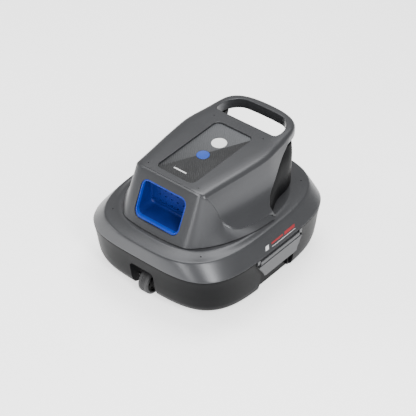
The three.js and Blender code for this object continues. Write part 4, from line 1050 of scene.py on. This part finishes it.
@dataclass
class HullTray:
    """The lower hull with its wheel wells, latch pockets, intakes and brackets."""

    outer: tuple[tuple[float, float, float, float], ...] = (
        (-1.5, 148.0, 163.0, 3.55), (-1.1, 151.5, 166.6, 3.6), (1.0, 156.0, 171.0, 3.7),
        (3.5, 158.4, 173.8, 3.72), (6.5, 160.0, 176.0, 3.75), (12.5, 161.6, 178.8, 3.77),
        (19.5, 162.8, 181.0, 3.8), (38, 164.4, 184.0, 3.82), (60, 165.8, 186.6, 3.84),
        (74, 167.2, 189.2, 3.86), (80.6, 167.9, 190.3, 3.88), (81.4, 167.8, 190.2, 3.88),
        (81.8, 167.5, 189.9, 3.88), (82.0, 167.0, 189.4, 3.88),
    )
    inner: tuple[tuple[float, float, float, float], ...] = (
        (82.0, 165.0, 187.5, 3.88), (60, 162.8, 183.5, 3.84), (19.5, 159.8, 178.0, 3.8),
        (8.0, 157.0, 173.0, 3.75), (3.5, 153.0, 168.0, 3.7), (2.0, 148.0, 163.0, 3.6), (2.0, 40.0, 44.0, 3.0),
    )
    bottom: float = -1.5
    floor: float = 2.0
    notch_half: float = 28.0
    notch_top: float = 57.0
    notch_radius: float = 9.0
    guide_y: float = 160.0
    guide_z: float = 13.0
    pocket_floor: float = 150.0
    pocket_low: float = 48.5
    pocket_top: float = 65.5
    pocket_break: float = 42.0
    pocket_flank: float = 71.0
    wheel: tuple[float, float] = (25.0, 28.0)  # drive axle along the body and up
    gear_centres: float = 40.0  # from the drive axle to the pinion
    pinion_angle: float = 18.0  # degrees above the axle
    mouths: tuple[float, float] = (-82.25, 7.75)
    mouth_half: float = 60.0
    wheel_slot: tuple[float, float] = (106.8, 136.5)
    inner_bracket: tuple[float, float] = (103.5, 106.5)
    outer_bracket: tuple[float, float] = (137.5, 140.5)

    def motor(self) -> tuple[float, float]:
        """The pinion's place along the body and up."""
        turn = math.radians(self.pinion_angle)
        y, z = self.wheel
        return y + self.gear_centres * math.cos(turn), z + self.gear_centres * math.sin(turn)

    def trimmed(self, webs: Solid) -> Solid:
        """Webs kept only where they lie inside the hull."""
        work = webs.object("webs")
        combine(work, loft([plan_ring(a, b, p, z) for z, a, b, p in self.outer]), "INTERSECT")
        return read_back(work)

    def shell(self) -> bpy.types.Object:
        """The hull's walls and floor."""
        rings = [plan_ring(a, b, p, z) for z, a, b, p in (*self.outer, *self.inner)]
        rings.append(plan_ring(40.0, 44.0, 3.0, self.bottom))
        tray = loft(rings, ring=True).object("hull_tray")
        middle = loft([plan_ring(41.0, 45.0, 3.0, z) for z in (self.bottom, self.floor)])
        return combine(tray, middle, "UNION")

    def cut_wells(self, tray: bpy.types.Object) -> None:
        """Guide wheel wells at the ends and latch pockets at the sides, with their walls."""
        n, g = self.notch_half, self.guide_y
        webs = Solid()
        notches = Solid()
        for end in (-1, 1):
            y0, y1 = sorted((end * (g - 32), end * 190.5))
            webs.take(block(-n - 3, n + 3, y0, y1, self.bottom, self.notch_top + 3))
            y0, y1 = sorted((end * (g - 29), end * 200.5))
            notches.take(prism(rounded_rect(-n, n, -20, self.notch_top, self.notch_radius), y0, y1, "y"))
        pockets = Solid()
        low, top, mid, flank = self.pocket_low, self.pocket_top, self.pocket_break, self.pocket_flank
        right = [(low, -7), (low, mid), (top, flank), (top, 87)]
        shape = [(-low, -7), *right, (-top, 87), (-top, flank), (-low, mid)]
        for s in (-1, 1):
            x0, x1 = sorted((s * (self.pocket_floor - 3), s * 168.0))
            webs.take(block(x0, x1, -top - 4.5, top + 4.5, self.bottom, 75))
            x0, x1 = sorted((s * self.pocket_floor, s * 180.0))
            pockets.take(prism(shape, x0, x1, "x"))
        combine(tray, self.trimmed(webs), "UNION")
        combine(tray, notches, "DIFFERENCE")
        combine(tray, pockets, "DIFFERENCE")

    def add_ribs(self, tray: bpy.types.Object) -> None:
        """A rib and the latch's keeper in each pocket."""
        ribs = Solid()
        for s in (-1, 1):
            x0, x1 = sorted((s * (self.pocket_floor - 1), s * (self.pocket_floor + 6)))
            ribs.take(block(x0, x1, 41, 44, 3.5, 39))
            x0, x1 = sorted((s * (self.pocket_floor - 1), s * 163.5))
            ribs.take(block(x0, x1, -20, 20, 56, 59))
        combine(tray, ribs, "UNION")

    def cut_floor(self, tray: bpy.types.Object) -> None:
        """Slots for the drive wheels and the two intake mouths."""
        y = self.wheel[0]
        slots = Solid()
        for s in (-1, 1):
            x0, x1 = sorted(s * x for x in self.wheel_slot)
            slots.take(block(x0, x1, y - 34, y + 34, self.bottom - 5, self.floor + 2))
        for y in self.mouths:
            outline = rounded_rect(-self.mouth_half, self.mouth_half, y - 9, y + 9, 2.5, 4)
            slots.take(prism(outline, self.bottom - 5, self.floor + 1.5, "z"))
        combine(tray, slots, "DIFFERENCE")

    def add_brackets(self, tray: bpy.types.Object) -> None:
        """Brackets for the drive axles and motors, and every axle's hole."""
        wy, wz = self.wheel
        my, mz = self.motor()
        brackets = Solid()
        holes = Solid()
        for s in (-1, 1):
            x0, x1 = sorted(s * x for x in self.inner_bracket)
            brackets.take(block(x0, x1, wy - 16, my + 16, self.bottom + 1, mz + 16))
            x0, x1 = sorted(s * x for x in self.outer_bracket)
            brackets.take(block(x0, x1, wy - 12, wy + 12, self.bottom + 1, wz + 12))
            x0, x1 = sorted((s * 96.0, s * 147.0))
            holes.take(drum(3.4, x0, x1, (0, wy, wz), "x", 0.1, 32))
            x0, x1 = sorted((s * 96.0, s * 107.5))
            holes.take(drum(5.0, x0, x1, (0, my, mz), "x", 0.1, 32))
        for end in (-1, 1):
            holes.take(drum(2.8, -37, 37, (0, end * self.guide_y, self.guide_z), "x", 0.1, 24))
        combine(tray, brackets, "UNION")
        combine(tray, holes, "DIFFERENCE")

    def build(self) -> None:
        """Makes the hull."""
        tray = self.shell()
        self.cut_wells(tray)
        self.add_ribs(tray)
        self.cut_floor(tray)
        self.add_brackets(tray)
        smooth(tray, 34)
        place(tray, Body.BASE, HULL, "base_tray")


@dataclass
class RearPanel:
    """The dark panel behind the cover, with the hollow for the fingers and the charging port."""

    face: float = 134.0
    top: float = 196.6
    foot: float = 116.8
    wall: float = 3.0
    scoop_half: float = 69.0
    scoop_back: tuple[tuple[float, float], ...] = (
        (149.5, 6.0), (152, 0.6), (160, -6.3), (172, -16.8), (180, -24), (184, -27), (188, -28.4),
        (217, -28.5),
    )
    port_z: float = 132.0
    port_hole: float = 9.3
    ear_x: float = 6.1
    hinge: tuple[float, float] = (136.6, 148.6)
    width: Table = Table(((117, 103), (150, 97), (175, 92), (197, 83)))
    depth: Table = Table(((117, -23), (150, -7), (175, 2), (197, 11)))

    def ring(self, z: float, inset: float, front: float | None) -> Ring:
        """The panel's outline at a height."""
        edge = FORM.rear_edge.at(z) - 6
        cx, cy = self.width.at(z), self.face + self.depth.at(z)
        start = min(FORM.side(edge, z).x - 5.5, cx + 34)
        path = Track((
            (start - inset, edge), (cx + 6 - inset, max(cy - 44, edge + 8)), (cx - inset, cy - 6 - inset),
            (cx - 13 - inset, self.face - 4 - inset + 0.4 * (cy - self.face + 22)), (60, self.face - inset),
            (30, self.face - inset), (0, self.face - inset),
        )).sample(40)
        half = [(float(x), float(y)) for x, y in path]
        if front is not None:
            half = [(half[0][0], front), *half]
        else:
            half = [(half[0][0] - 1.0, edge - 1.0), *half]
        full = half + [(-x, y) for x, y in half[-2::-1]]
        return [Vector((x, y, z)) for x, y in full]

    def scoop(self, grow: float) -> Solid:
        """The hollow for the fingers below the handle."""
        rings = []
        for z, back in self.scoop_back:
            y = self.face + back - grow * 1.4
            outline = rounded_rect(-self.scoop_half - grow, self.scoop_half + grow, y, y + 90, 9.0, 6)
            rings.append([Vector((u, v, z)) for u, v in outline])
        return loft(rings)

    def build(self) -> None:
        """Makes the panel."""
        heights = [self.foot + (self.top - self.foot) * k / 24 for k in range(25)]
        shell = loft([self.ring(z, 0.0, None) for z in heights]).object("rear_panel_shell")
        hollow = [self.ring(min(max(z, 117), self.top), self.wall, 0.0) for z in heights]
        for ring, rise in ((hollow[0], -6), (hollow[-1], 6)):
            for p in ring:
                p.z += rise
        core = loft(hollow).object("core")
        combine(core, self.scoop(self.wall), "DIFFERENCE")
        combine(shell, read_back(core), "DIFFERENCE")
        combine(shell, self.scoop(0.0), "DIFFERENCE")
        hole = drum(self.port_hole, self.face - 20, self.face + 20, (0, 0, self.port_z), "y", 0.1, 48)
        combine(shell, hole, "DIFFERENCE")
        hy, hz = self.hinge
        ears = Solid()
        bores = Solid()
        for s in (-1, 1):
            x = s * self.ear_x
            ear = drum(2.4, x - 1.2, x + 1.2, (0, hy, hz), "x", 0.3, 32)
            root = block(x - 1.1, x + 1.1, self.face - 1, hy, hz - 2.3, hz + 2.3)
            combine(shell, root, "UNION")
            ears.take(ear)
            bores.take(drum(1.1, x - 3, x + 3, (0, hy, hz), "x", 0.05, 20))
        combine(shell, ears, "UNION")
        combine(shell, bores, "DIFFERENCE")
        smooth(shell, 32)
        place(shell, Body.UPPER, HULL, "rear_panel")


# ---------------------------------------------------------------- control panel
@dataclass
class ControlPanel:
    """The ribbed lens, the power key and the status light, set down into the top face."""

    window: tuple[float, float, float, float] = (-43.0, 43.0, -93.5, 78.0)
    margin: float = 3.0
    radius: float = 12.0
    recess: float = 4.2
    thickness: float = 2.5
    pitch: float = 3.5
    rib_height: float = 0.45
    key_y: float = -14.0
    key_radius: float = 12.0
    light_y: float = 31.0
    light_radius: float = 14.5

    def tilted(self, solid: Solid) -> Solid:
        """A solid drawn flat, laid into the tilted top face."""
        turn = Euler((math.atan(FORM.tilt), 0, 0)).to_matrix()
        return solid.moved(lambda p: turn @ p + Vector((0, 0, FORM.top)))

    def outline(self, grow: float) -> Outline:
        """The lens outline."""
        x0, x1, y0, y1 = self.window
        return rounded_rect(x0 - grow, x1 + grow, y0 - grow, y1 + grow, self.radius + grow, 12)

    def ribs(self) -> Solid:
        """Slanting ribs, longer than the lens is wide."""
        out = Solid()
        low, high = -self.recess - 0.3, -self.recess + self.rib_height
        w = self.pitch * 0.5
        for k in range(-30, 31):
            c = Vector((0.0, -7.75)) + Vector((1, 1)).normalized() * k * self.pitch
            d = Vector((-1, 1)).normalized()
            n = Vector((1, 1)).normalized()
            section = [(-w, low), (w, low), (w * 0.86, low + 0.35), (w * 0.45, high - 0.06), (0, high),
                       (-w * 0.45, high - 0.06), (-w * 0.86, low + 0.35)]
            rings = []
            for t in (-110.0, 110.0):
                rings.append([Vector((*(c + d * t + n * u), v)) for u, v in section])
            rib = loft(rings)
            out.take(rib)
        return out

    def key_dish(self, radius: float, rise: float, centre: float, bottom: float) -> Solid:
        """A round key: softened rim, shallow dish."""
        top = -self.recess + rise
        rings = []
        levels = (
            (bottom, 0.96), (bottom + 0.3, 1.0), (top - 0.7, 1.0), (top - 0.3, 0.985), (top - 0.06, 0.955),
            (top, 0.92), (top - 0.05, 0.86), (top - 0.22, 0.6), (top - 0.3, 0.3), (top - 0.32, 0.05),
        )
        for z, share in levels:
            rings.append([
                Vector((radius * share * math.cos(a), centre + radius * share * math.sin(a), z))
                for a in (2 * math.pi * k / 72 for k in range(72))
            ])
        return loft(rings)

    def build(self) -> None:
        """Makes the lens, the key, the light and the plain bar mark."""
        sheet_low = -self.recess - self.thickness
        plate = prism(self.outline(self.margin), sheet_low, -self.recess - 0.05).object("panel_plate")
        holes = Solid()
        for y, r in ((self.key_y, self.key_radius), (self.light_y, self.light_radius)):
            holes.take(drum(r + 0.3, -12, 5, (0, y, 0), soft=0.1, count=72))
        ribs = self.ribs().object("panel_ribs")
        combine(ribs, prism(self.outline(-0.3), -self.recess - 0.2, 3), "INTERSECT")
        rims = Solid()
        for y, r in ((self.key_y, self.key_radius), (self.light_y, self.light_radius)):
            rims.take(drum(r + 1.3, -12, 5, (0, y, 0), soft=0.1, count=72))
        combine(ribs, rims, "DIFFERENCE")
        combine(plate, holes, "DIFFERENCE")
        for obj in (plate, ribs):
            turn = Euler((math.atan(FORM.tilt), 0, 0)).to_matrix().to_4x4()
            turn.translation = Vector((0, 0, FORM.top * MM))
            obj.data.transform(turn)
            smooth(obj, 30)
        place(plate, Body.UPPER, PANEL, "panel_lens")
        place(ribs, Body.UPPER, PANEL)
        dish = self.key_dish(self.key_radius, 0.9, self.key_y, -self.recess - 2)
        key = self.tilted(dish).object("power_key")
        stem = self.tilted(drum(2.4, sheet_low - 9, -self.recess - 1, (0, self.key_y, 0), count=24))
        combine(key, stem, "UNION")
        smooth(key, 40)
        place(key, Body.BUTTON, KEY_BLUE, "power_button")
        light = self.tilted(self.key_dish(self.light_radius, 0.7, self.light_y, sheet_low))
        lens = light.object("status_lens")
        smooth(lens, 40)
        place(lens, Body.UPPER, LENS, "status_light")
        bar = rounded_rect(-17, 12, -75.2, -72.2, 1.4, 6)
        raised = prism(bar, -self.recess, -self.recess + self.rib_height + 0.25)
        mark = self.tilted(raised).object("panel_bar_mark")
        softened(mark, 0.1)
        smooth(mark)
        place(mark, Body.UPPER, SILVER)


# ---------------------------------------------------------------- latches and wheels
@dataclass
class Latch:
    """One side latch: a leaning plate with a ridge, a grip lip, its hinge barrel and its hook."""

    side: Side
    hinge_x: float = 165.0
    hinge_z: float = 76.7
    lean: float = -0.045
    inner: float = 2.4
    thickness: float = 3.2
    top: float = 1.8
    bottom: float = -34.7
    shoulder: float = -5.8
    top_half: float = 64.0
    low_half: float = 47.0
    barrel_half: float = 56.5

    def outline(self, grow: float) -> Outline:
        """The plate's outline along Y and Z, in the hinge's frame."""
        t, l, b = self.top_half, self.low_half, self.bottom
        right = [(l - 6, b)] + bezier((l - 4, b), (l - 1, b), (l + 0.6, b + 2), (l + 1.6, b + 6.5), 6)
        rise = self.shoulder - 0.7 - b - 6.5
        right += [(l + 1.6 + (t - l - 1.6) * k / 8, b + 6.5 + rise * k / 8) for k in range(9)]
        h = self.barrel_half
        right += [(t - 0.7, self.shoulder), (h, self.shoulder), (h, self.top - 0.5), (h - 0.5, self.top)]
        full = right + [(-y, z) for y, z in right[::-1]]
        return grown(full, grow)

    def build(self) -> None:
        """Makes the latch."""
        x0, x1 = self.inner, self.inner + self.thickness
        rings = []
        inner_edge = ((x0, -0.6), (x0 + 0.25, -0.15), (x0 + 0.7, 0.0))
        outer_edge = ((x1 - 0.9, 0.0), (x1 - 0.3, -0.25), (x1, -0.9))
        for x, grow in (*inner_edge, *outer_edge):
            rings.append([Vector((x, y, z)) for y, z in self.outline(grow)])
        plate = loft(rings).object("plate")
        half = self.barrel_half
        barrel = drum(2.6, -half, half, (0, 0, 0), "y", 0.3, 32)
        combine(plate, barrel, "UNION")
        combine(plate, block(0, x0 + 1, -half, half, -2.6, 0), "UNION")
        ridge = prism([(x1 - 1, -9.0), (x1 + 0.4, -8.4), (x1 + 0.8, -7.6), (x1 + 0.8, -6.9), (x1 + 0.3, -6.2),
                       (x1 - 1, -6.1)], -self.top_half + 3, self.top_half - 3, "y")
        combine(plate, ridge, "UNION")
        slope = [(x1 - 1.4, self.top + 1), (x1 + 1, self.top - 1.4), (x1 + 1, self.top + 1)]
        bevel = prism(slope, -half - 1, half + 1, "y")
        combine(plate, bevel, "DIFFERENCE")
        catch = self.bottom + 10
        combine(plate, block(x0 - 3.2, x0 + 1, -18, 18, catch, catch + 2.6), "UNION")
        combine(plate, drum(1.7, -half - 1, half + 1, (0, 0, 0), "y", 0.05, 24), "DIFFERENCE")
        groove = block(x1 - 0.5, x1 + 2, -self.top_half - 1, self.top_half + 1, -5.6, -4.6)
        combine(plate, groove, "DIFFERENCE")
        s = self.side.value
        turn = Euler((0, self.lean, 0)).to_matrix().to_4x4()
        if s < 0:
            turn = Euler((0, 0, math.pi)).to_matrix().to_4x4() @ turn
        turn.translation = Vector((s * self.hinge_x * MM, 0, self.hinge_z * MM))
        plate.data.transform(turn)
        word = self.side.name.lower()
        plate.name = f"latch_plate_{word}"
        smooth(plate, 40)
        place(plate, Body(f"latch_{word}"), SHELL, f"latch_{word}")


@dataclass
class GuideWheel:
    """A small free wheel in its well: grooved tyre, dished hub and axle ends."""

    body: Body
    word: str
    y: float
    z: float = 13.0
    radius: float = 25.0
    half: float = 10.5
    rim: float = 19.8
    spoke: float = 12.4  # from the axle to the middle of each hub hole

    def build(self) -> None:
        """Makes the tyre and the hub."""
        r, h = self.radius, self.half
        tyre = [(-h, self.rim), (-h, r - 2.6), (-h + 0.5, r - 1.2), (-h + 1.6, r - 0.3), (-h + 3.4, r)]
        for k in (-1, 0, 1):
            c = k * 3.0
            tyre += [(c - 0.75, r), (c - 0.55, r - 0.6), (c + 0.55, r - 0.6), (c + 0.75, r)]
        tyre += [(h - 3.4, r), (h - 1.6, r - 0.3), (h - 0.5, r - 1.2), (h, r - 2.6), (h, self.rim)]
        rubber = turned(tyre, (0, self.y, self.z), "x", 96).object(f"{self.word}_guide_tread")
        smooth(rubber, 40)
        place(rubber, self.body, RUBBER, f"{self.word}_guide_tyre")
        q = self.rim - 0.3
        left = [(-h + 0.5, 2.9), (-h + 0.5, 5.6), (-h + 0.9, 6.2), (-h + 3.4, 8), (-h + 3.6, q - 3.4),
                (-h + 0.6, q - 1.2), (-h + 0.2, q)]
        hub = [*left, *((-x, radius) for x, radius in reversed(left))]
        core = turned(hub, (0, self.y, self.z), "x", 64).object(f"{self.word}_guide_hub")
        slots = Solid()
        for k in range(6):
            a = 2 * math.pi * k / 6
            spot = (0, self.y + self.spoke * math.cos(a), self.z + self.spoke * math.sin(a))
            slots.take(drum(2.4, -h - 1, h + 1, spot, "x", 0.1, 24))
        combine(core, slots, "DIFFERENCE")
        smooth(core, 40)
        place(core, self.body, HULL, f"{self.word}_guide_wheel")


@dataclass
class SideMark:
    """Plain slanted patches and a thin line on the right side band."""

    foot: float = 90.8
    top: float = 95.0
    slant: float = 0.7

    def band_x(self, y: float, z: float) -> float:
        """Half width of the band at a place and height."""
        levels = Deck().levels()[3:13]
        for low, high in zip(levels, levels[1:]):
            if low[0] <= z <= high[0]:
                t = (z - low[0]) / (high[0] - low[0])
                a, b, p = (low[i] + (high[i] - low[i]) * t for i in (1, 2, 3))
                return a * (1 - (abs(y) / b) ** p) ** (1 / p)
        return levels[0][1]

    def patch(self, name: str, y0: float, y1: float, z0: float, z1: float, finish: Finish) -> None:
        """One thin patch that follows the band, its ends aslant."""
        grid = []
        for i in range(7):
            z = z0 + (z1 - z0) * i / 6
            row = []
            for k in range(41):
                y = y0 + (y1 - y0) * k / 40 + self.slant * (z - z0)
                row.append(Vector((self.band_x(y, z) + 0.1, y, z)))
            grid.append(row)
        obj = sheet(grid[::-1], 0.14, 0.03).object(name)
        smooth(obj, 60)
        place(obj, Body.UPPER, finish)

    def build(self) -> None:
        """Makes the patches from the rear one to the front one."""
        self.patch("side_mark_red", 19.5, 50.0, self.foot, self.top, RED)
        self.patch("side_mark_bar", -17.0, 16.0, self.foot + 0.9, self.top - 0.9, RED)
        self.patch("side_mark_pale", -36.0, -27.0, self.foot - 2.0, self.top - 0.5, SILVER)
        self.patch("side_mark_line", -18.0, 49.5, self.foot - 2.6, self.foot - 2.0, SILVER)


# ---------------------------------------------------------------- frame pieces that stay
@dataclass
class InnerWorks:
    """Finishes for the frame's own pieces that keep their shape."""

    finishes: tuple[tuple[str, Finish], ...] = (
        ("drive_wheel", HULL), ("drive_tyre", RUBBER), ("drive_gear", NYLON), ("drive_axle", STEEL),
        ("drive_pinion", STEEL), ("drive_motor", CAN), ("filter_basket", INNER), ("filter_mesh", CLOTH),
        ("filter_screen", CLOTH), ("intake_flap", SEAL), ("flap_pin", STEEL), ("power_case", INNER),
        ("case_lid", INNER), ("case_gasket", SEAL), ("lid_screw", STEEL), ("battery_pack", WRAP),
        ("control_board", BOARD), ("pump_motor", CAN), ("pump_shaft", STEEL), ("impeller_shroud", INNER),
        ("impeller", NYLON), ("shaft_seal", SEAL), ("charge_port", INNER), ("charge_cap_pin", STEEL),
        ("charge_cap", SEAL), ("latch_pin", STEEL), ("guide_axle", STEEL), ("button_spring", STEEL),
    )

    def build(self) -> None:
        """Dresses every frame piece that still shows."""
        for name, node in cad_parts.items():
            if node.hide_render:
                continue
            finish = next((f for key, f in self.finishes if key in name), INNER)
            material = finish.material()
            if not node.material_slots:
                raise ValueError(f"{name} has no material slot")
            for slot in node.material_slots:
                slot.material = material
            LOG.info("%s keeps its shape, in %s", name, finish.name)


# ---------------------------------------------------------------- stage
@dataclass
class Studio:
    """Pale floor, soft lights and the camera."""

    camera_place: tuple[float, float, float] = (1.3991, -1.6628, 1.8130)
    camera_line: tuple[float, float, float] = (-0.50491, 0.60002, -0.62051)
    lens: float = 129.8
    glow: float = 1.2  # brightness that the floor adds of its own
    sky: float = 0.75

    def lamp(self, name: str, spot: tuple[float, float, float], aim: tuple[float, float, float], size: float,
             power: float, height: float | None = None) -> None:
        """One soft rectangular light."""
        data = bpy.data.lights.new(name, "AREA")
        data.shape = "RECTANGLE"
        data.size = size
        data.size_y = height or size
        data.energy = power
        lamp = bpy.data.objects.new(name, data)
        lamp.location = spot
        lamp.rotation_euler = (Vector(aim) - Vector(spot)).to_track_quat("-Z", "Y").to_euler()
        bpy.context.scene.collection.objects.link(lamp)

    def build(self) -> None:
        """Makes the stage."""
        rings = [[Vector((x * r, y * r, z)) for x, y in rounded_rect(-1, 1, -1, 1, 0.3)]
                 for r, z in ((4000.0, -6.0), (4000.0, -0.4), (3999.0, 0.0))]
        floor = loft(rings).object("floor")
        pale = Finish("pale floor", "floor", (0.9, 0.9, 0.9), (0.93, 0.93, 0.93), 0.7,
                      grain_mm=3.0, grain_depth=0.02, mottle_mm=600.0)
        dress(floor, pale)
        shader = pale.material().node_tree.nodes["Principled BSDF"]
        shader.inputs["Emission Color"].default_value = (1.0, 1.0, 1.0, 1.0)
        shader.inputs["Emission Strength"].default_value = self.glow
        world = bpy.data.worlds.new("studio")
        world.use_nodes = True
        world.node_tree.nodes["Background"].inputs["Color"].default_value = (1.0, 1.0, 1.0, 1.0)
        world.node_tree.nodes["Background"].inputs["Strength"].default_value = self.sky
        bpy.context.scene.world = world
        self.lamp("key", (1.3, -0.7, 1.1), (0.0, 0.0, 0.13), 0.4, 34.0, 1.1)
        self.lamp("front", (0.35, -1.7, 0.7), (0.0, 0.0, 0.12), 0.35, 16.0, 0.9)
        self.lamp("overhead", (-0.3, 0.5, 1.9), (0.0, 0.0, 0.1), 1.2, 40.0)
        self.lamp("left", (-1.5, -0.9, 0.9), (0.0, 0.0, 0.1), 0.5, 14.0, 1.0)
        data = bpy.data.cameras.new("camera")
        data.lens = self.lens
        data.sensor_width = 36.0
        camera = bpy.data.objects.new("camera", data)
        camera.location = self.camera_place
        camera.rotation_euler = Vector(self.camera_line).to_track_quat("-Z", "Y").to_euler()
        bpy.context.scene.collection.objects.link(camera)
        bpy.context.scene.camera = camera


def main() -> None:
    """Builds every piece."""
    logging.basicConfig(level=logging.INFO, format="%(name)s: %(message)s")
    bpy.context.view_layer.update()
    Studio().build()
    TopCover().build()
    FASCIA.build()
    OutletDuct().build()
    Deck().build()
    HullTray().build()
    RearPanel().build()
    ControlPanel().build()
    for side in Side:
        Latch(side).build()
    GuideWheel(Body.FRONT_GUIDE, "front", -160.0).build()
    GuideWheel(Body.REAR_GUIDE, "rear", 160.0).build()
    SideMark().build()
    InnerWorks().build()


if __name__ == "__main__":
    main()
